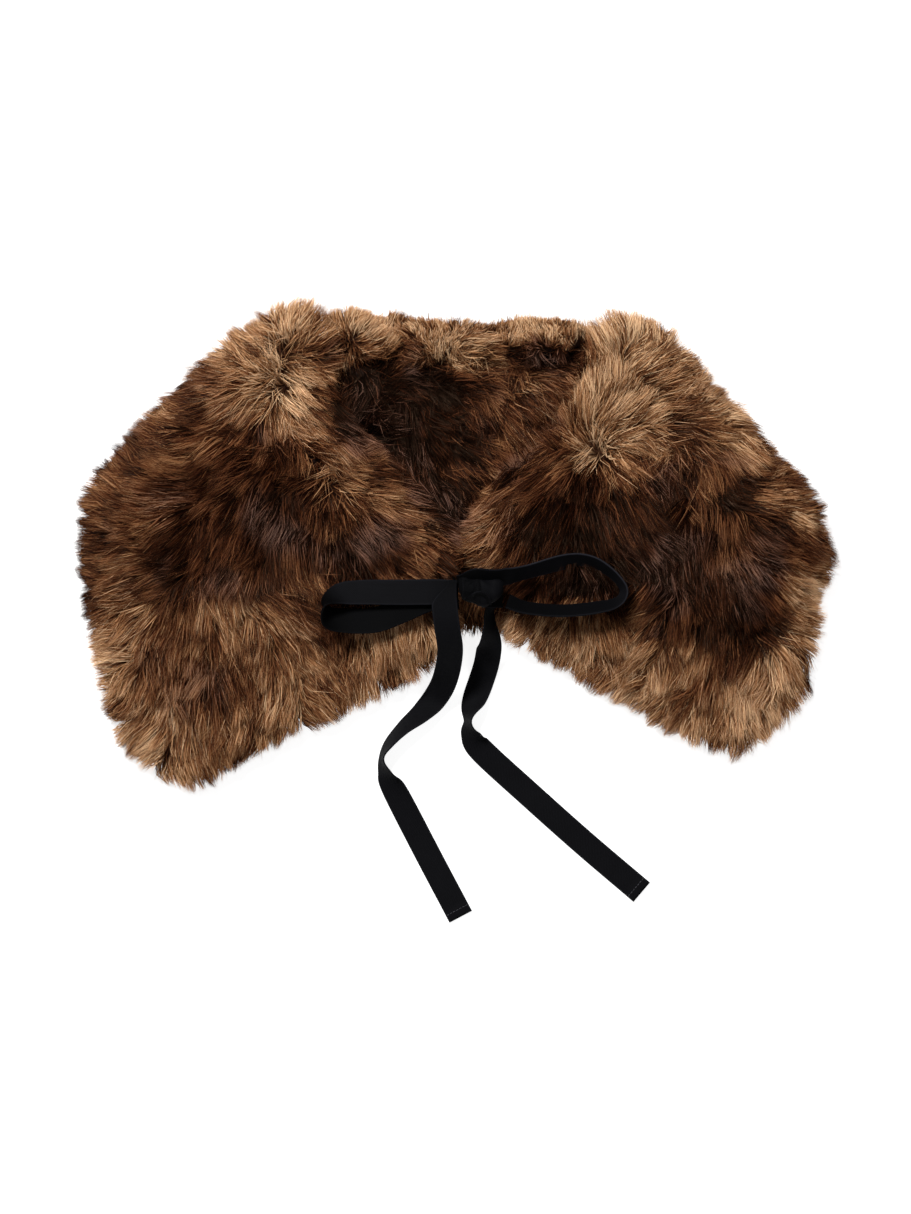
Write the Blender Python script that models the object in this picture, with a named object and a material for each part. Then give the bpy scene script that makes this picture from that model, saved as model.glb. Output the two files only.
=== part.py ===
"""Fur collar wrap, laid flat: a band of long-pile fur cloth folded over at both shoulders, tied in a bow.

Metres, +Z up from the surface that the wrap lies on, +Y towards its neck, +X to the right as seen from above.
The tables are in millimetres, and MM turns them into metres where a mesh is made.
"""

import math

import bmesh
import bpy
import numpy as np

MM = 0.001
COLLECTION = "fur_collar_wrap"

# Heights of the layers
SEAM_GAP = 0.3  # between one piece and the next
BACK_THICK = 17.0  # the outer back with its pile pressed under it and the inner pile pressed on it
SHELF = BACK_THICK + SEAM_GAP  # what lies on the back starts here
FRONT_THICK = 33.0  # a front: inner pile, both cloths, and the free outer pile
FACING_THICK = 9.0  # the free pile of the inner back, over the shelf
ROLL_THICK = 24.0
BACK_CLEAR = 4.5  # a front's underside stays this far out from the back's edge before it drops to the surface
DROP_RUN = 6.5  # and drops over this distance
BILLOW = 2.4  # how far the pile's low swells rise and fall

# The nest that the bow presses into the fronts' pile
NEST_MIDDLE = (8.0, 7.0)
NEST_HALF = (104.0, 24.0)
NEST_EDGE = 16.0
NEST_DEPTH = 8.0

# The tape
TAPE_WIDTH = 16.0
TAPE_THICK = 1.2
HEM_LENGTH = 6.0  # turned under at each free end
HEM_THICK = 2.0
TAPE_STEP = 3.2  # between sections along the tape

# How a pile edge rounds over: share of the thickness at each distance in from the edge
EDGE_PROFILE = (
    # inset, share
    (0.0, 0.36),
    (5.0, 0.66),
    (13.0, 0.86),
    (27.0, 0.96),
    (45.0, 1.0),
)

# Outlines of the pile's tips, clockwise as seen from above. lock is how far its pointed locks stand out.
BACK_OUTLINE = (
    # x, y, lock
    (-70, 176, 1.5),
    (-35, 175, 2),
    (5, 174, 2),
    (45, 175, 2),
    (82, 176, 1.5),
    (108, 158, 0),
    (136, 135, 0),
    (160, 107, 0),
    (184, 78, 0),
    (200, 52, 0),
    (197, 33, 0),
    (174, 19, 0),
    (142, 6, 0),
    (98, -4, 0),
    (58, -10, 0),
    (30, -13, 1.5),
    (12, -13, 2.5),
    (-5, -12, 1.5),
    (-42, -8, 0),
    (-92, 2, 0),
    (-142, 14, 0),
    (-178, 26, 0),
    (-198, 41, 0),
    (-200, 58, 0),
    (-188, 83, 0),
    (-163, 109, 0),
    (-135, 136, 0),
    (-102, 159, 0),
)
FACING_OUTLINE = (
    # x, y, lock
    (-74, 159, 0),
    (-40, 158, 0.5),
    (2, 158, 0.5),
    (42, 158, 0.5),
    (78, 159, 0),
    (77, 147, 0),
    (63, 129, 0),
    (57, 112, 0),
    (36, 91, 0),
    (13, 70, 0),
    (2, 58, 0),
    (-12, 65, 0),
    (-38, 88, 0),
    (-66, 116, 0),
    (-74, 136, 0),
)
LEFT_OUTLINE = (
    # x, y, lock
    (-80, 166, 2),
    (-81, 141, 2),
    (-77, 122, 2),
    (-66, 110, 2),
    (-37, 80, 2),
    (-12, 58, 1),
    (0.6, 46, 0),
    (0.6, 20, 0),
    (-1, -8, 0),
    (-9, -29, 3),
    (-36, -47, 5),
    (-67, -62, 5),
    (-99, -75, 6),
    (-130, -93, 6),
    (-160, -111, 6),
    (-178, -110, 6),
    (-197, -98, 6),
    (-213, -79, 6),
    (-222, -53, 5),
    (-226, -27, 5),
    (-234, 5, 5),
    (-235, 37, 4),
    (-230.5, 74, 4),
    (-200, 113, 4),
    (-169, 145, 4),
    (-138, 172, 5),
    (-117, 187, 7),
    (-98, 192.5, 7),
    (-85, 191, 5),
    (-78.5, 184, 2),
)
RIGHT_OUTLINE = (
    # x, y, lock
    (85, 187, 4),
    (112, 183, 6),
    (133, 172, 5),
    (149, 154, 4),
    (171, 131, 5),
    (189, 108, 5),
    (212, 84, 5),
    (228, 58, 5),
    (235, 28, 5),
    (226, 5, 5),
    (227, -10, 5),
    (221, -36, 5),
    (211, -59, 6),
    (196, -79, 6),
    (177, -91, 6),
    (152, -85, 5),
    (125, -74.5, 5),
    (113, -62, 5),
    (89, -50, 5),
    (64, -35, 5),
    (37, -26, 3),
    (31, -12, 0),
    (15, 9, 0),
    (3, 30, 0),
    (3, 48, 0),
    (15, 66, 1),
    (39, 85, 2),
    (63, 110, 2),
    (68, 125, 2),
    (82, 145, 2),
    (85, 164, 2),
)

# Where each panel's rings draw together
BACK_MIDDLE = (0.0, 80.0)
FACING_MIDDLE = (1.0, 116.0)
LEFT_MIDDLE = (-130.0, 40.0)
RIGHT_MIDDLE = (118.0, 42.0)

# The neck roll, one row for each section along it
ROLL_SECTIONS = (
    # x, y, half_width, height
    (-76, 179, 7.5, 0.55),
    (-69, 174.5, 14.0, 0.90),
    (-58, 172, 12.5, 1.04),
    (-47, 170, 10.5, 0.98),
    (-36, 168.5, 9.5, 0.94),
    (-22, 167.5, 8.5, 1.02),
    (-8, 167, 8.0, 0.95),
    (6, 167, 8.5, 1.00),
    (20, 167, 8.5, 0.93),
    (34, 167.5, 8.5, 1.03),
    (48, 169, 10.5, 0.96),
    (62, 169, 10.5, 1.02),
    (74, 171, 10.5, 0.88),
    (80, 175, 6.0, 0.50),
)

# Routes of the tape's middle line. low: height of its lower edge. turn: its lean, 0 flat and 90 on edge.
LOOP_LEFT_ROUTE = (
    # x, y, low, turn
    (0.4, 9.6, 46.6, 4),
    (-14, 10.2, 46.6, 6),
    (-36, 10.0, 46.2, 10),
    (-60, 10.0, 45.0, 18),
    (-74, 8.6, 43.6, 38),
    (-82.5, 2.4, 42.65, 80),
    (-80, -5.6, 42.65, 140),
    (-70, -7.6, 42.65, 160),
    (-52, -7.4, 42.65, 166),
    (-36, -1.6, 42.65, 172),
    (-17, 6.4, 43.0, 176),
    (0.4, 8.0, 43.2, 178),
)
LOOP_RIGHT_ROUTE = (
    # x, y, low, turn
    (29.6, 17.2, 46.0, 48),
    (37, 19.2, 44.8, 58),
    (46, 21.4, 43.6, 59),
    (55, 24.0, 43.0, 57),
    (65, 26.8, 42.65, 56),
    (75, 28.6, 42.65, 62),
    (84.5, 27.4, 42.65, 67),
    (92.5, 22.8, 42.65, 71),
    (98.8, 17.0, 42.65, 74),
    (103, 10.6, 42.65, 75),
    (101.6, 4.6, 42.65, 75),
    (96, 0.8, 42.65, 72),
    (87, -0.9, 42.65, 70),
    (76, -2.6, 42.65, 70),
    (64, -3.4, 42.65, 71),
    (52, -2.6, 42.65, 70),
    (40, -0.6, 42.65, 67),
    (31, 3.6, 43.2, 58),
)
TAIL_LEFT_ROUTE = (
    # x, y, low, turn
    (-8.6, 17.5, 50.5, 0),
    (-8.4, 5.0, 50.2, 0),
    (-6.6, -11, 46.5, 0),
    (-4.6, -26.6, 36.0, 0),
    (-6.6, -44, 17.0, 0),
    (-12.8, -57.6, 3.0, 5),
    (-21.4, -67, 0.2, 34),
    (-33, -75.6, 0.2, 58),
    (-42.6, -84.8, 0.2, 70),
    (-47.6, -93.6, 0.2, 80),
    (-45.2, -103, 0.2, 56),
    (-38.2, -116, 0.2, 10),
    (-18.4, -155.4, 0.2, 0),
    (1.0, -192.6, 0.2, 0),
)
TAIL_RIGHT_ROUTE = (
    # x, y, low, turn
    (16.4, 4.0, 41.2, 0),
    (17.0, -3.0, 32.0, -28),
    (18.4, -9.0, 23.0, -50),
    (19.4, -17, 18.6, -40),
    (20.2, -25, 13.0, -10),
    (19.0, -35, 5.0, 0),
    (15.4, -46, 0.3, 0),
    (10.8, -58, 0.2, 22),
    (6.2, -70, 0.2, 76),
    (8.8, -80, 0.2, 50),
    (16.2, -90.2, 0.2, 8),
    (44.6, -115.8, 0.2, 0),
    (79.6, -147.0, 0.2, 0),
    (115.0, -177.8, 0.2, 0),
)
ROOT_LEFT_ROUTE = (
    # x, y, low, turn
    (-12.0, 29.8, 39.8, 0),
    (-4.0, 27.2, 39.4, 0),
    (3.0, 25.2, 41.0, 0),
)
ROOT_RIGHT_ROUTE = (
    # x, y, low, turn
    (28.0, 8.4, 42.8, 0),
    (22.0, 8.4, 42.8, 0),
    (15.0, 8.4, 42.8, 0),
)

# The knot, one row for each section from left to right
KNOT_SECTIONS = (
    # x, y, half_length, half_height
    (0.2, 16.0, 6.0, 2.6),
    (2.4, 15.6, 9.6, 5.0),
    (5.6, 14.8, 9.8, 6.4),
    (9.0, 13.8, 9.0, 5.6),
    (12.4, 12.4, 9.8, 7.0),
    (16.4, 11.2, 10.2, 7.2),
    (19.6, 11.6, 9.4, 5.8),
    (23.0, 12.6, 8.8, 6.2),
    (26.4, 14.2, 6.8, 4.6),
    (28.4, 15.6, 3.6, 2.4),
)
KNOT_MIDDLE_HEIGHT = 51.6

# Mesh fineness
PANEL_POINTS = 120
SMALL_POINTS = 60
SECTION_POINTS = 12

# Finishes: colour, roughness
FUR_BROWN = ((0.16, 0.085, 0.042), 0.85)
FUR_DARK = ((0.06, 0.028, 0.016), 0.85)
FUR_TAN = ((0.30, 0.18, 0.09), 0.85)
TAPE_BLACK = ((0.006, 0.006, 0.007), 0.75)


def clear_scene():
    for thing in list(bpy.data.objects):
        bpy.data.objects.remove(thing, do_unlink=True)


def finish_of(name, finish):
    """A plain material of that colour and roughness."""
    colour, rough = finish
    material = bpy.data.materials.new(name)
    material.use_nodes = True
    shader = material.node_tree.nodes["Principled BSDF"]
    shader.inputs["Base Color"].default_value = (*colour, 1.0)
    shader.inputs["Roughness"].default_value = rough
    shader.inputs["Metallic"].default_value = 0.0
    return material


def spline(rows, closed, per_span=12):
    """A dense Catmull-Rom curve through the rows, all columns alike."""
    rows = np.array(rows, float)
    if closed:
        knots = np.vstack([rows[-1:], rows, rows[:2]])
    else:
        knots = np.vstack([2 * rows[0] - rows[1], rows, 2 * rows[-1] - rows[-2]])
    t = np.linspace(0, 1, per_span, endpoint=False)[:, None]
    spans = []
    for a, b, c, d in zip(knots[:-3], knots[1:-2], knots[2:-1], knots[3:]):
        spans.append(0.5 * (2 * b + (c - a) * t + (2 * a - 5 * b + 4 * c - d) * t**2
                            + (3 * b - a - 3 * c + d) * t**3))
    last = rows[:1] if closed else rows[-1:]
    return np.vstack([*spans, last])


def even(curve, count, closed):
    """That many points at even steps along the curve's plan."""
    steps = np.linalg.norm(np.diff(curve[:, :2], axis=0), axis=1)
    along = np.concatenate([[0], np.cumsum(steps)])
    at = np.linspace(0, along[-1], count, endpoint=not closed)
    return np.array([np.interp(at, along, column) for column in curve.T]).T


def outline(rows, count):
    """(points of the plain outline, how far each stands out): every second point is a lock's tip."""
    line = even(spline(rows, True), count, True)
    i = np.arange(count)
    swing = np.where(i % 2 == 0, 0.5, -0.5) * (0.35 + 0.65 * np.abs(np.sin(1.9 * i * i)))
    return line[:, :2], line[:, 2] * swing


def distance_in(points, line):
    """Signed distance of the points from a closed line, positive inside."""
    a, b = line, np.roll(line, -1, axis=0)
    edge = b - a
    rel = points[:, None] - a[None]
    t = np.clip((rel * edge).sum(2) / (edge**2).sum(1), 0, 1)
    away = np.linalg.norm(rel - t[..., None] * edge, axis=2).min(1)
    y0, y1 = a[:, 1], b[:, 1]
    crosses = (y0 > points[:, 1:2]) != (y1 > points[:, 1:2])
    rise = np.where(y1 == y0, 1.0, y1 - y0)
    x = a[:, 0] + (points[:, 1:2] - y0) / rise * edge[:, 0]
    inside = (crosses & (points[:, 0:1] < x)).sum(1) % 2 == 1
    return np.where(inside, away, -away)


def ease(x):
    x = np.clip(x, 0, 1)
    return x * x * (3 - 2 * x)


def nest(points):
    """How much of the bow's nest is at each point, 0 to 1."""
    off = np.abs(points - NEST_MIDDLE) - NEST_HALF
    return ease(1 - off[:, 0] / NEST_EDGE) * ease(1 - off[:, 1] / NEST_EDGE)


def billows(points):
    """Low swells of the pile, within 1 either way."""
    x, y = points.T
    swell = np.sin(x / 15.0 + 0.7 * np.sin(y / 21.0)) * np.sin(y / 17.0 + 1.1 + 0.6 * np.sin(x / 26.0))
    return 0.65 * swell + 0.35 * np.sin(x / 9.0 - y / 11.0 + 2.0)


def loft(name, rings, finish, ends=None):
    """One closed body over rings of equally many points, capped by a fan at each end."""
    mesh = bpy.data.meshes.new(name)
    body = bmesh.new()
    rows = [[body.verts.new(np.array(p, float) * MM) for p in ring] for ring in rings]
    count = len(rows[0])
    for low, high in zip(rows[:-1], rows[1:]):
        for i in range(count):
            j = (i + 1) % count
            body.faces.new((low[i], low[j], high[j], high[i]))
    tips = ends or (np.mean(rings[0], axis=0), np.mean(rings[-1], axis=0))
    for row, tip in ((rows[0], tips[0]), (rows[-1], tips[1])):
        middle = body.verts.new(np.array(tip, float) * MM)
        for i in range(count):
            body.faces.new((row[i], row[(i + 1) % count], middle))
    bmesh.ops.triangulate(body, faces=body.faces[:])
    bmesh.ops.recalc_face_normals(body, faces=body.faces[:])
    body.to_mesh(mesh)
    body.free()
    mesh.materials.append(finish_of(name, finish))
    piece = bpy.data.objects.new(name, mesh)
    bpy.data.collections[COLLECTION].objects.link(piece)
    return piece


def ring_at(line, out, middle, radius, height, swing=1.0):
    """A ring on the rays from the middle, at the given distances from it, with the locks' swing."""
    rays = line - middle
    length = np.linalg.norm(rays, axis=1)
    reach = radius(length) + out * swing
    plan = middle + rays / length[:, None] * reach[:, None]
    z = height(plan) if callable(height) else np.broadcast_to(height, len(plan))
    return np.column_stack([plan, z])


def back_panel(name, rows, middle, finish):
    """The flat lower layer: pile pressed under and over it, rounded at the edge."""
    line, out = outline(rows, PANEL_POINTS)
    middle = np.array(middle)
    rings = [
        ring_at(line, out, middle, lambda r: 0.5 * r, 0.0, 0.0),
        ring_at(line, out, middle, lambda r: r - 5.0, 0.0, 0.3),
        ring_at(line, out, middle, lambda r: r, 0.40 * BACK_THICK),
        ring_at(line, out, middle, lambda r: r - 3.5, 0.88 * BACK_THICK, 0.5),
        ring_at(line, out, middle, lambda r: r - 9.0, BACK_THICK, 0.0),
        ring_at(line, out, middle, lambda r: 0.5 * r, BACK_THICK, 0.0),
    ]
    return loft(name, rings, finish, ((*middle, 0.0), (*middle, BACK_THICK)))


def facing_panel(name, rows, middle, finish):
    """The inner back's pile, on the shelf, with combed ridges running down from the neck."""
    line, out = outline(rows, SMALL_POINTS)
    middle = np.array(middle)

    def height(plan):
        depth = distance_in(plan, line)
        share = ease(depth / 16.0)
        return SHELF + FACING_THICK * (0.35 + 0.65 * share) + 1.2 * share * billows(1.6 * plan)

    rings = [
        ring_at(line, out, middle, lambda r: 0.5 * r, SHELF, 0.0),
        ring_at(line, out, middle, lambda r: r - 2.0, SHELF, 0.0),
        ring_at(line, out, middle, lambda r: r, SHELF + 0.3 * FACING_THICK),
    ]
    for share in (0.90, 0.76, 0.58, 0.38, 0.18):
        rings.append(ring_at(line, out, middle, lambda r, s=share: s * r, height, 0.0))
    return loft(name, rings, finish, ((*middle, SHELF), (*middle, height(middle[None])[0])))


def front_panel(name, rows, middle, finish):
    """A front: it lies on the back at the shelf, and comes down to the surface all round it."""
    line, out = outline(rows, PANEL_POINTS)
    back_line, _ = outline(BACK_OUTLINE, PANEL_POINTS)
    middle = np.array(middle)
    rays = line - middle
    length = np.linalg.norm(rays, axis=1)
    steps = np.linspace(0, 1, 101)
    over = np.array([distance_in(middle + steps[:, None] * ray, back_line) > -BACK_CLEAR for ray in rays])
    leave = np.array([steps[np.flatnonzero(row).max()] for row in over]) * length
    lands = leave + DROP_RUN <= length - 9.0
    base = np.where(lands, 0.0, SHELF)
    blurred = sum(np.roll(base, k) for k in range(-2, 3)) / 5
    edge_base = np.maximum(base, blurred)
    shelf_edge = np.where(lands, leave, length - 20.0)
    foot = np.where(lands, leave + DROP_RUN, length - 14.0)
    insets, shares = np.array(EDGE_PROFILE).T
    ridge = np.where(np.arange(len(line)) % 2 == 0, 1.0, -1.0)

    def lift(plan):
        return SHELF * ease((distance_in(plan, back_line) + 25.0) / 30.0)

    def height(plan, ridged=0.0):
        depth = distance_in(plan, line)
        share = np.interp(depth, insets, shares)
        calm = 1 - nest(plan)
        soft = ease(depth / 40.0) * calm
        under = np.maximum(lift(plan), edge_base * ease(1 - depth / 30.0))
        relief = BILLOW * soft * billows(plan) + ridged * ridge * calm
        return under + FRONT_THICK * share + relief - NEST_DEPTH * (1 - calm)

    def nose(share):
        return np.maximum(edge_base, lift(line) * 0.5) + FRONT_THICK * share - 0.3 * NEST_DEPTH * nest(line)

    rings = [
        ring_at(line, out, middle, lambda r: 0.5 * shelf_edge, SHELF, 0.0),
        ring_at(line, out, middle, lambda r: shelf_edge, SHELF, 0.0),
        ring_at(line, out, middle, lambda r: foot, base, 0.0),
        ring_at(line, out, middle, lambda r: r - 9.0, base, 0.0),
        ring_at(line, out, middle, lambda r: r - 3.5, edge_base + 0.12 * FRONT_THICK, 0.5),
        ring_at(line, out, middle, lambda r: r, nose(0.36)),
    ]
    for inset, swing, ridged in ((5.0, 0.8, 1.0), (13.0, 0.5, 1.4), (27.0, 0.2, 1.2), (45.0, 0.0, 0.9)):
        rings.append(ring_at(line, out, middle, lambda r, d=inset: r - d,
                             lambda plan, k=ridged: height(plan, k), swing))
    for share in (0.66, 0.38, 0.15):
        rings.append(ring_at(line, out, middle, lambda r, s=share: s * (r - 45.0), height, 0.0))
    crown = SHELF + FRONT_THICK + BILLOW * billows(middle[None])[0]
    return loft(name, rings, finish, ((*middle, SHELF), (*middle, crown)))


def rounded_section(half_width, half_height, count, square=0.75):
    """A ring of a soft rectangle in its own plane, first point at its side."""
    angle = np.linspace(0, 2 * math.pi, count, endpoint=False)
    across = np.sign(np.cos(angle)) * np.abs(np.cos(angle)) ** square * half_width
    up = np.sign(np.sin(angle)) * np.abs(np.sin(angle)) ** square * half_height
    return across, up


def neck_roll(name, rows, finish):
    """The rolled neck edge: a soft bolster on the back, locks standing out at its outer side."""
    rings = []
    for k, (x, y, half_width, share) in enumerate(spline(rows, False, 2)):
        height = ROLL_THICK * share
        across, up = rounded_section(half_width, 0.5 * height, SECTION_POINTS)
        lock = np.where(up > 0, 1.5 if k % 2 == 0 else -0.5, 0.0) * np.clip(across / half_width, 0, 1)
        z = np.maximum(SHELF + 0.5 * height + up, SHELF)
        rings.append(np.column_stack([np.full(SECTION_POINTS, x), y + across + lock, z]))
    return loft(name, rings, finish)


def tape(name, rows, finish, hems=()):
    """A strip of the tape along its route. hems names the ends, 0 or -1, that are turned under."""
    route = spline(rows, False)
    long = float(np.linalg.norm(np.diff(route[:, :3], axis=0), axis=1).sum())
    count = max(6, round(long / TAPE_STEP))
    route = even(route, count, False)
    turn = np.radians(route[:, 3])
    z = route[:, 2] + 0.5 * TAPE_WIDTH * np.abs(np.sin(turn)) + 0.5 * TAPE_THICK
    middle = np.column_stack([route[:, :2], z])
    ahead = np.gradient(middle, axis=0)
    ahead /= np.linalg.norm(ahead, axis=1)[:, None]
    side = np.cross((0, 0, 1), ahead)
    side /= np.linalg.norm(side, axis=1)[:, None]
    up = np.cross(ahead, side)
    across = np.cos(turn)[:, None] * side + np.sin(turn)[:, None] * up
    out = np.cross(ahead, across)
    steps = np.linalg.norm(np.diff(middle, axis=0), axis=1)
    along = np.concatenate([[0], np.cumsum(steps)])
    extra = np.zeros(count)
    if 0 in hems:
        extra[along < HEM_LENGTH] = HEM_THICK - TAPE_THICK
    if -1 in hems:
        extra[along > along[-1] - HEM_LENGTH] = HEM_THICK - TAPE_THICK
    half = 0.5 * TAPE_WIDTH
    rings = []
    for m, a, o, more in zip(middle, across, out, extra):
        top = 0.5 * TAPE_THICK + more
        bottom = -0.5 * TAPE_THICK
        rings.append([m - half * a + bottom * o, m + half * a + bottom * o,
                      m + half * a + top * o, m - half * a + top * o])
    return loft(name, rings, finish)


def knot(name, rows, finish):
    """The tape's wraps drawn tight: ridges and grooves from left to right."""
    rings = []
    for x, y, half_length, half_height in spline(rows, False, 2):
        across, up = rounded_section(half_length, half_height, 2 * SECTION_POINTS, 0.8)
        rings.append(np.column_stack([np.full(len(across), x), y + across, KNOT_MIDDLE_HEIGHT + up]))
    return loft(name, rings, finish)


def build():
    clear_scene()
    bpy.context.scene.collection.children.link(bpy.data.collections.new(COLLECTION))
    back_panel("fur_back", BACK_OUTLINE, BACK_MIDDLE, FUR_BROWN)
    facing_panel("fur_back_facing", FACING_OUTLINE, FACING_MIDDLE, FUR_DARK)
    neck_roll("fur_neck_roll", ROLL_SECTIONS, FUR_TAN)
    front_panel("fur_front_left", LEFT_OUTLINE, LEFT_MIDDLE, FUR_BROWN)
    front_panel("fur_front_right", RIGHT_OUTLINE, RIGHT_MIDDLE, FUR_BROWN)
    tape("tie_root_left", ROOT_LEFT_ROUTE, TAPE_BLACK)
    tape("tie_root_right", ROOT_RIGHT_ROUTE, TAPE_BLACK)
    tape("bow_loop_left", LOOP_LEFT_ROUTE, TAPE_BLACK)
    tape("bow_loop_right", LOOP_RIGHT_ROUTE, TAPE_BLACK)
    knot("bow_knot", KNOT_SECTIONS, TAPE_BLACK)
    tape("tie_tail_left", TAIL_LEFT_ROUTE, TAPE_BLACK, hems=(-1,))
    tape("tie_tail_right", TAIL_RIGHT_ROUTE, TAPE_BLACK, hems=(-1,))


build()
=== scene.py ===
"""Looks of the fur collar wrap: its pile, the fur cloth under it, the tape tie and a pale studio.

Metres, +Z up from the surface, +Y towards the neck, +X to the right as seen from above.
The tables are in millimetres and degrees; an angle is counted from +X towards +Y.
"""

import math

import bmesh
import bpy
import numpy as np
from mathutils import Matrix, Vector
from mathutils.bvhtree import BVHTree
from mathutils.kdtree import KDTree


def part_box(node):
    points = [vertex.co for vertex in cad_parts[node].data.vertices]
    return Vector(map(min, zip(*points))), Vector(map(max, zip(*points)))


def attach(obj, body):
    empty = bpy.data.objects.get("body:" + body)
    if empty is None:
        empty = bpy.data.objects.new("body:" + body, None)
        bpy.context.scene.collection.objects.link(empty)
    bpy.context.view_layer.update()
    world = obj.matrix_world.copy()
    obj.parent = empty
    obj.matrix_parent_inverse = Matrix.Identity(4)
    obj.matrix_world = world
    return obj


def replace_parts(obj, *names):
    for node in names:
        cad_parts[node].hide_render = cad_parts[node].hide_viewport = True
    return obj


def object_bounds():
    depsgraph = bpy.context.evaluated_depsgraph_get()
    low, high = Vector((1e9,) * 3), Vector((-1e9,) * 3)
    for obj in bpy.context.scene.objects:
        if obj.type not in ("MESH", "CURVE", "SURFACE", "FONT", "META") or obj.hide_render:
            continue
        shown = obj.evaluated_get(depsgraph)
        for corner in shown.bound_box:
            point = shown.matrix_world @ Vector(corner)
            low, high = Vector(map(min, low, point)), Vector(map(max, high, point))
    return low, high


MM = 0.001

# Strands, locks of them and tufts of locks
STRAND_WIDE = 0.41  # at its widest
STRAND_STEPS = 2
STRAND_TAPER = ((0, 0.25, 0.6, 0.85, 1), (0.8, 1.0, 0.9, 0.5, 0.15))  # along it, and its share of that width
LOCK_APART = 4.6
TUFT_APART = 17.0
TUFT_PULL = 0.35  # how far the locks run together in a tuft
HAIR_PULL = (0.3, 0.95)  # and the strands in a lock, from the loosest to the tightest
LOOSE_SHARE = 0.08  # of the strands follow no lock
SHORT_SHARE = 0.24  # of them are short and broad, and fill the coat below
SHORT_LONG = (0.5, 0.8)  # their length as a share of the others'
PARTED = 3.2  # how much more the pile is ruffled where it parts
TURN_SPREAD, LIFT_SPREAD, CURL_SPREAD = 9, 6, 13  # degrees
LONG_SPREAD, TONE_SPREAD = 0.08, 0.65
TURN_SWELL, LONG_SWELL, LIFT_SWELL = 13, 0.07, 7  # how these change over the wrap
SWELLS = ((26.0, 31), (30.0, 32), (20.0, 33))  # size across and seed, for each
LOCKS_RAGGED, HAIRS_RAGGED = 1.9, 1.0  # how uneven their ends are
SAG = 0.25
SWEEP_HEART = 3.0  # within this of a sweep, the pile lies much as it says
SHORTEST, LONGEST = 0.5, 1.36  # how much a strand may be cut or lengthened to end at the outline
NEAR_END = 11.0  # strands that head for the outline and end within this of it are drawn out to it
ENDS_OUT, ENDS_IN = 5, 7  # how far past the outline and short of it the uneven ends may be
FREE_LOFT, LOFT = 2.0, 4.0  # how far over their solid strands stand freely, and how much more at most
RIM_FALL = 0.10  # how steeply that height falls beyond the outline
LYING = 45.0  # tape whose upper face is below this lies flat enough for locks to lap over it

# Fur cloth: rings from the middle to the rim on its upper face, round the rim, and back below
RIM_POINTS = 132
CLOTH_TOP = (0.06, 0.2, 0.35, 0.5, 0.65, 0.8, 0.9, 0.96, 1.0)
CLOTH_RIM = (25, 50, 75, 105, 130, 155)  # degrees
CLOTH_UNDER = (1.0, 0.96, 0.9, 0.8, 0.6, 0.4, 0.2, 0.06)
RIM_BULGE = 5  # how far it rounds out

# Grids over the plan
GRID = 2.0
AROUND = 44.0  # how far they reach past the solids
NOTCH = 7.0  # half the width of a notch between two panels that their pile closes
CELLS_AT_ONCE = 4000
COVER_GRID = 1.5
COVER_START, COVER_COUNT = (-100, -60), (145, 70)  # takes in the tape as far as it lies on fur

# Tape, as wide and thick as the solids'
TAPE_WIDTH = 16.0
TAPE_THICK = 1.1
TAPE_STEP = 1.5
TAPE_PLACES = (-1, -0.965, -0.9, -0.6, -0.2, 0.2, 0.6, 0.9, 0.965, 1)  # across it, in half widths
TAPE_FULL = (0.45, 0.95, 0.85, 0.8, 0.8, 0.8, 0.8, 0.85, 0.95, 0.45)  # share of its thickness there
HEM_LENGTH, HEM_THICK = 6.0, 0.7
STITCH_APART, STITCH_HALF, STITCH_RISE = 2.2, 0.8, 0.16
STITCH_RINGS, STITCH_SIDES = 5, 6
THREAD_HALF = 0.22
TWILL_PITCH = 1.25

# Dye and painted shade: how far and how coarsely its patches run into one another, and the shade where there
# is none
RUN, RUN_SIZE = 4.0, 22.0
PATCH_EDGE = 1.1  # the higher, the sharper
PLAIN_SHADE, PLAIN_WEIGHT = 0.45, 0.02
MOTTLES = ((0.045, 9.0, 7), (0.03, 4.0, 8))  # how much, size across and seed

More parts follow.
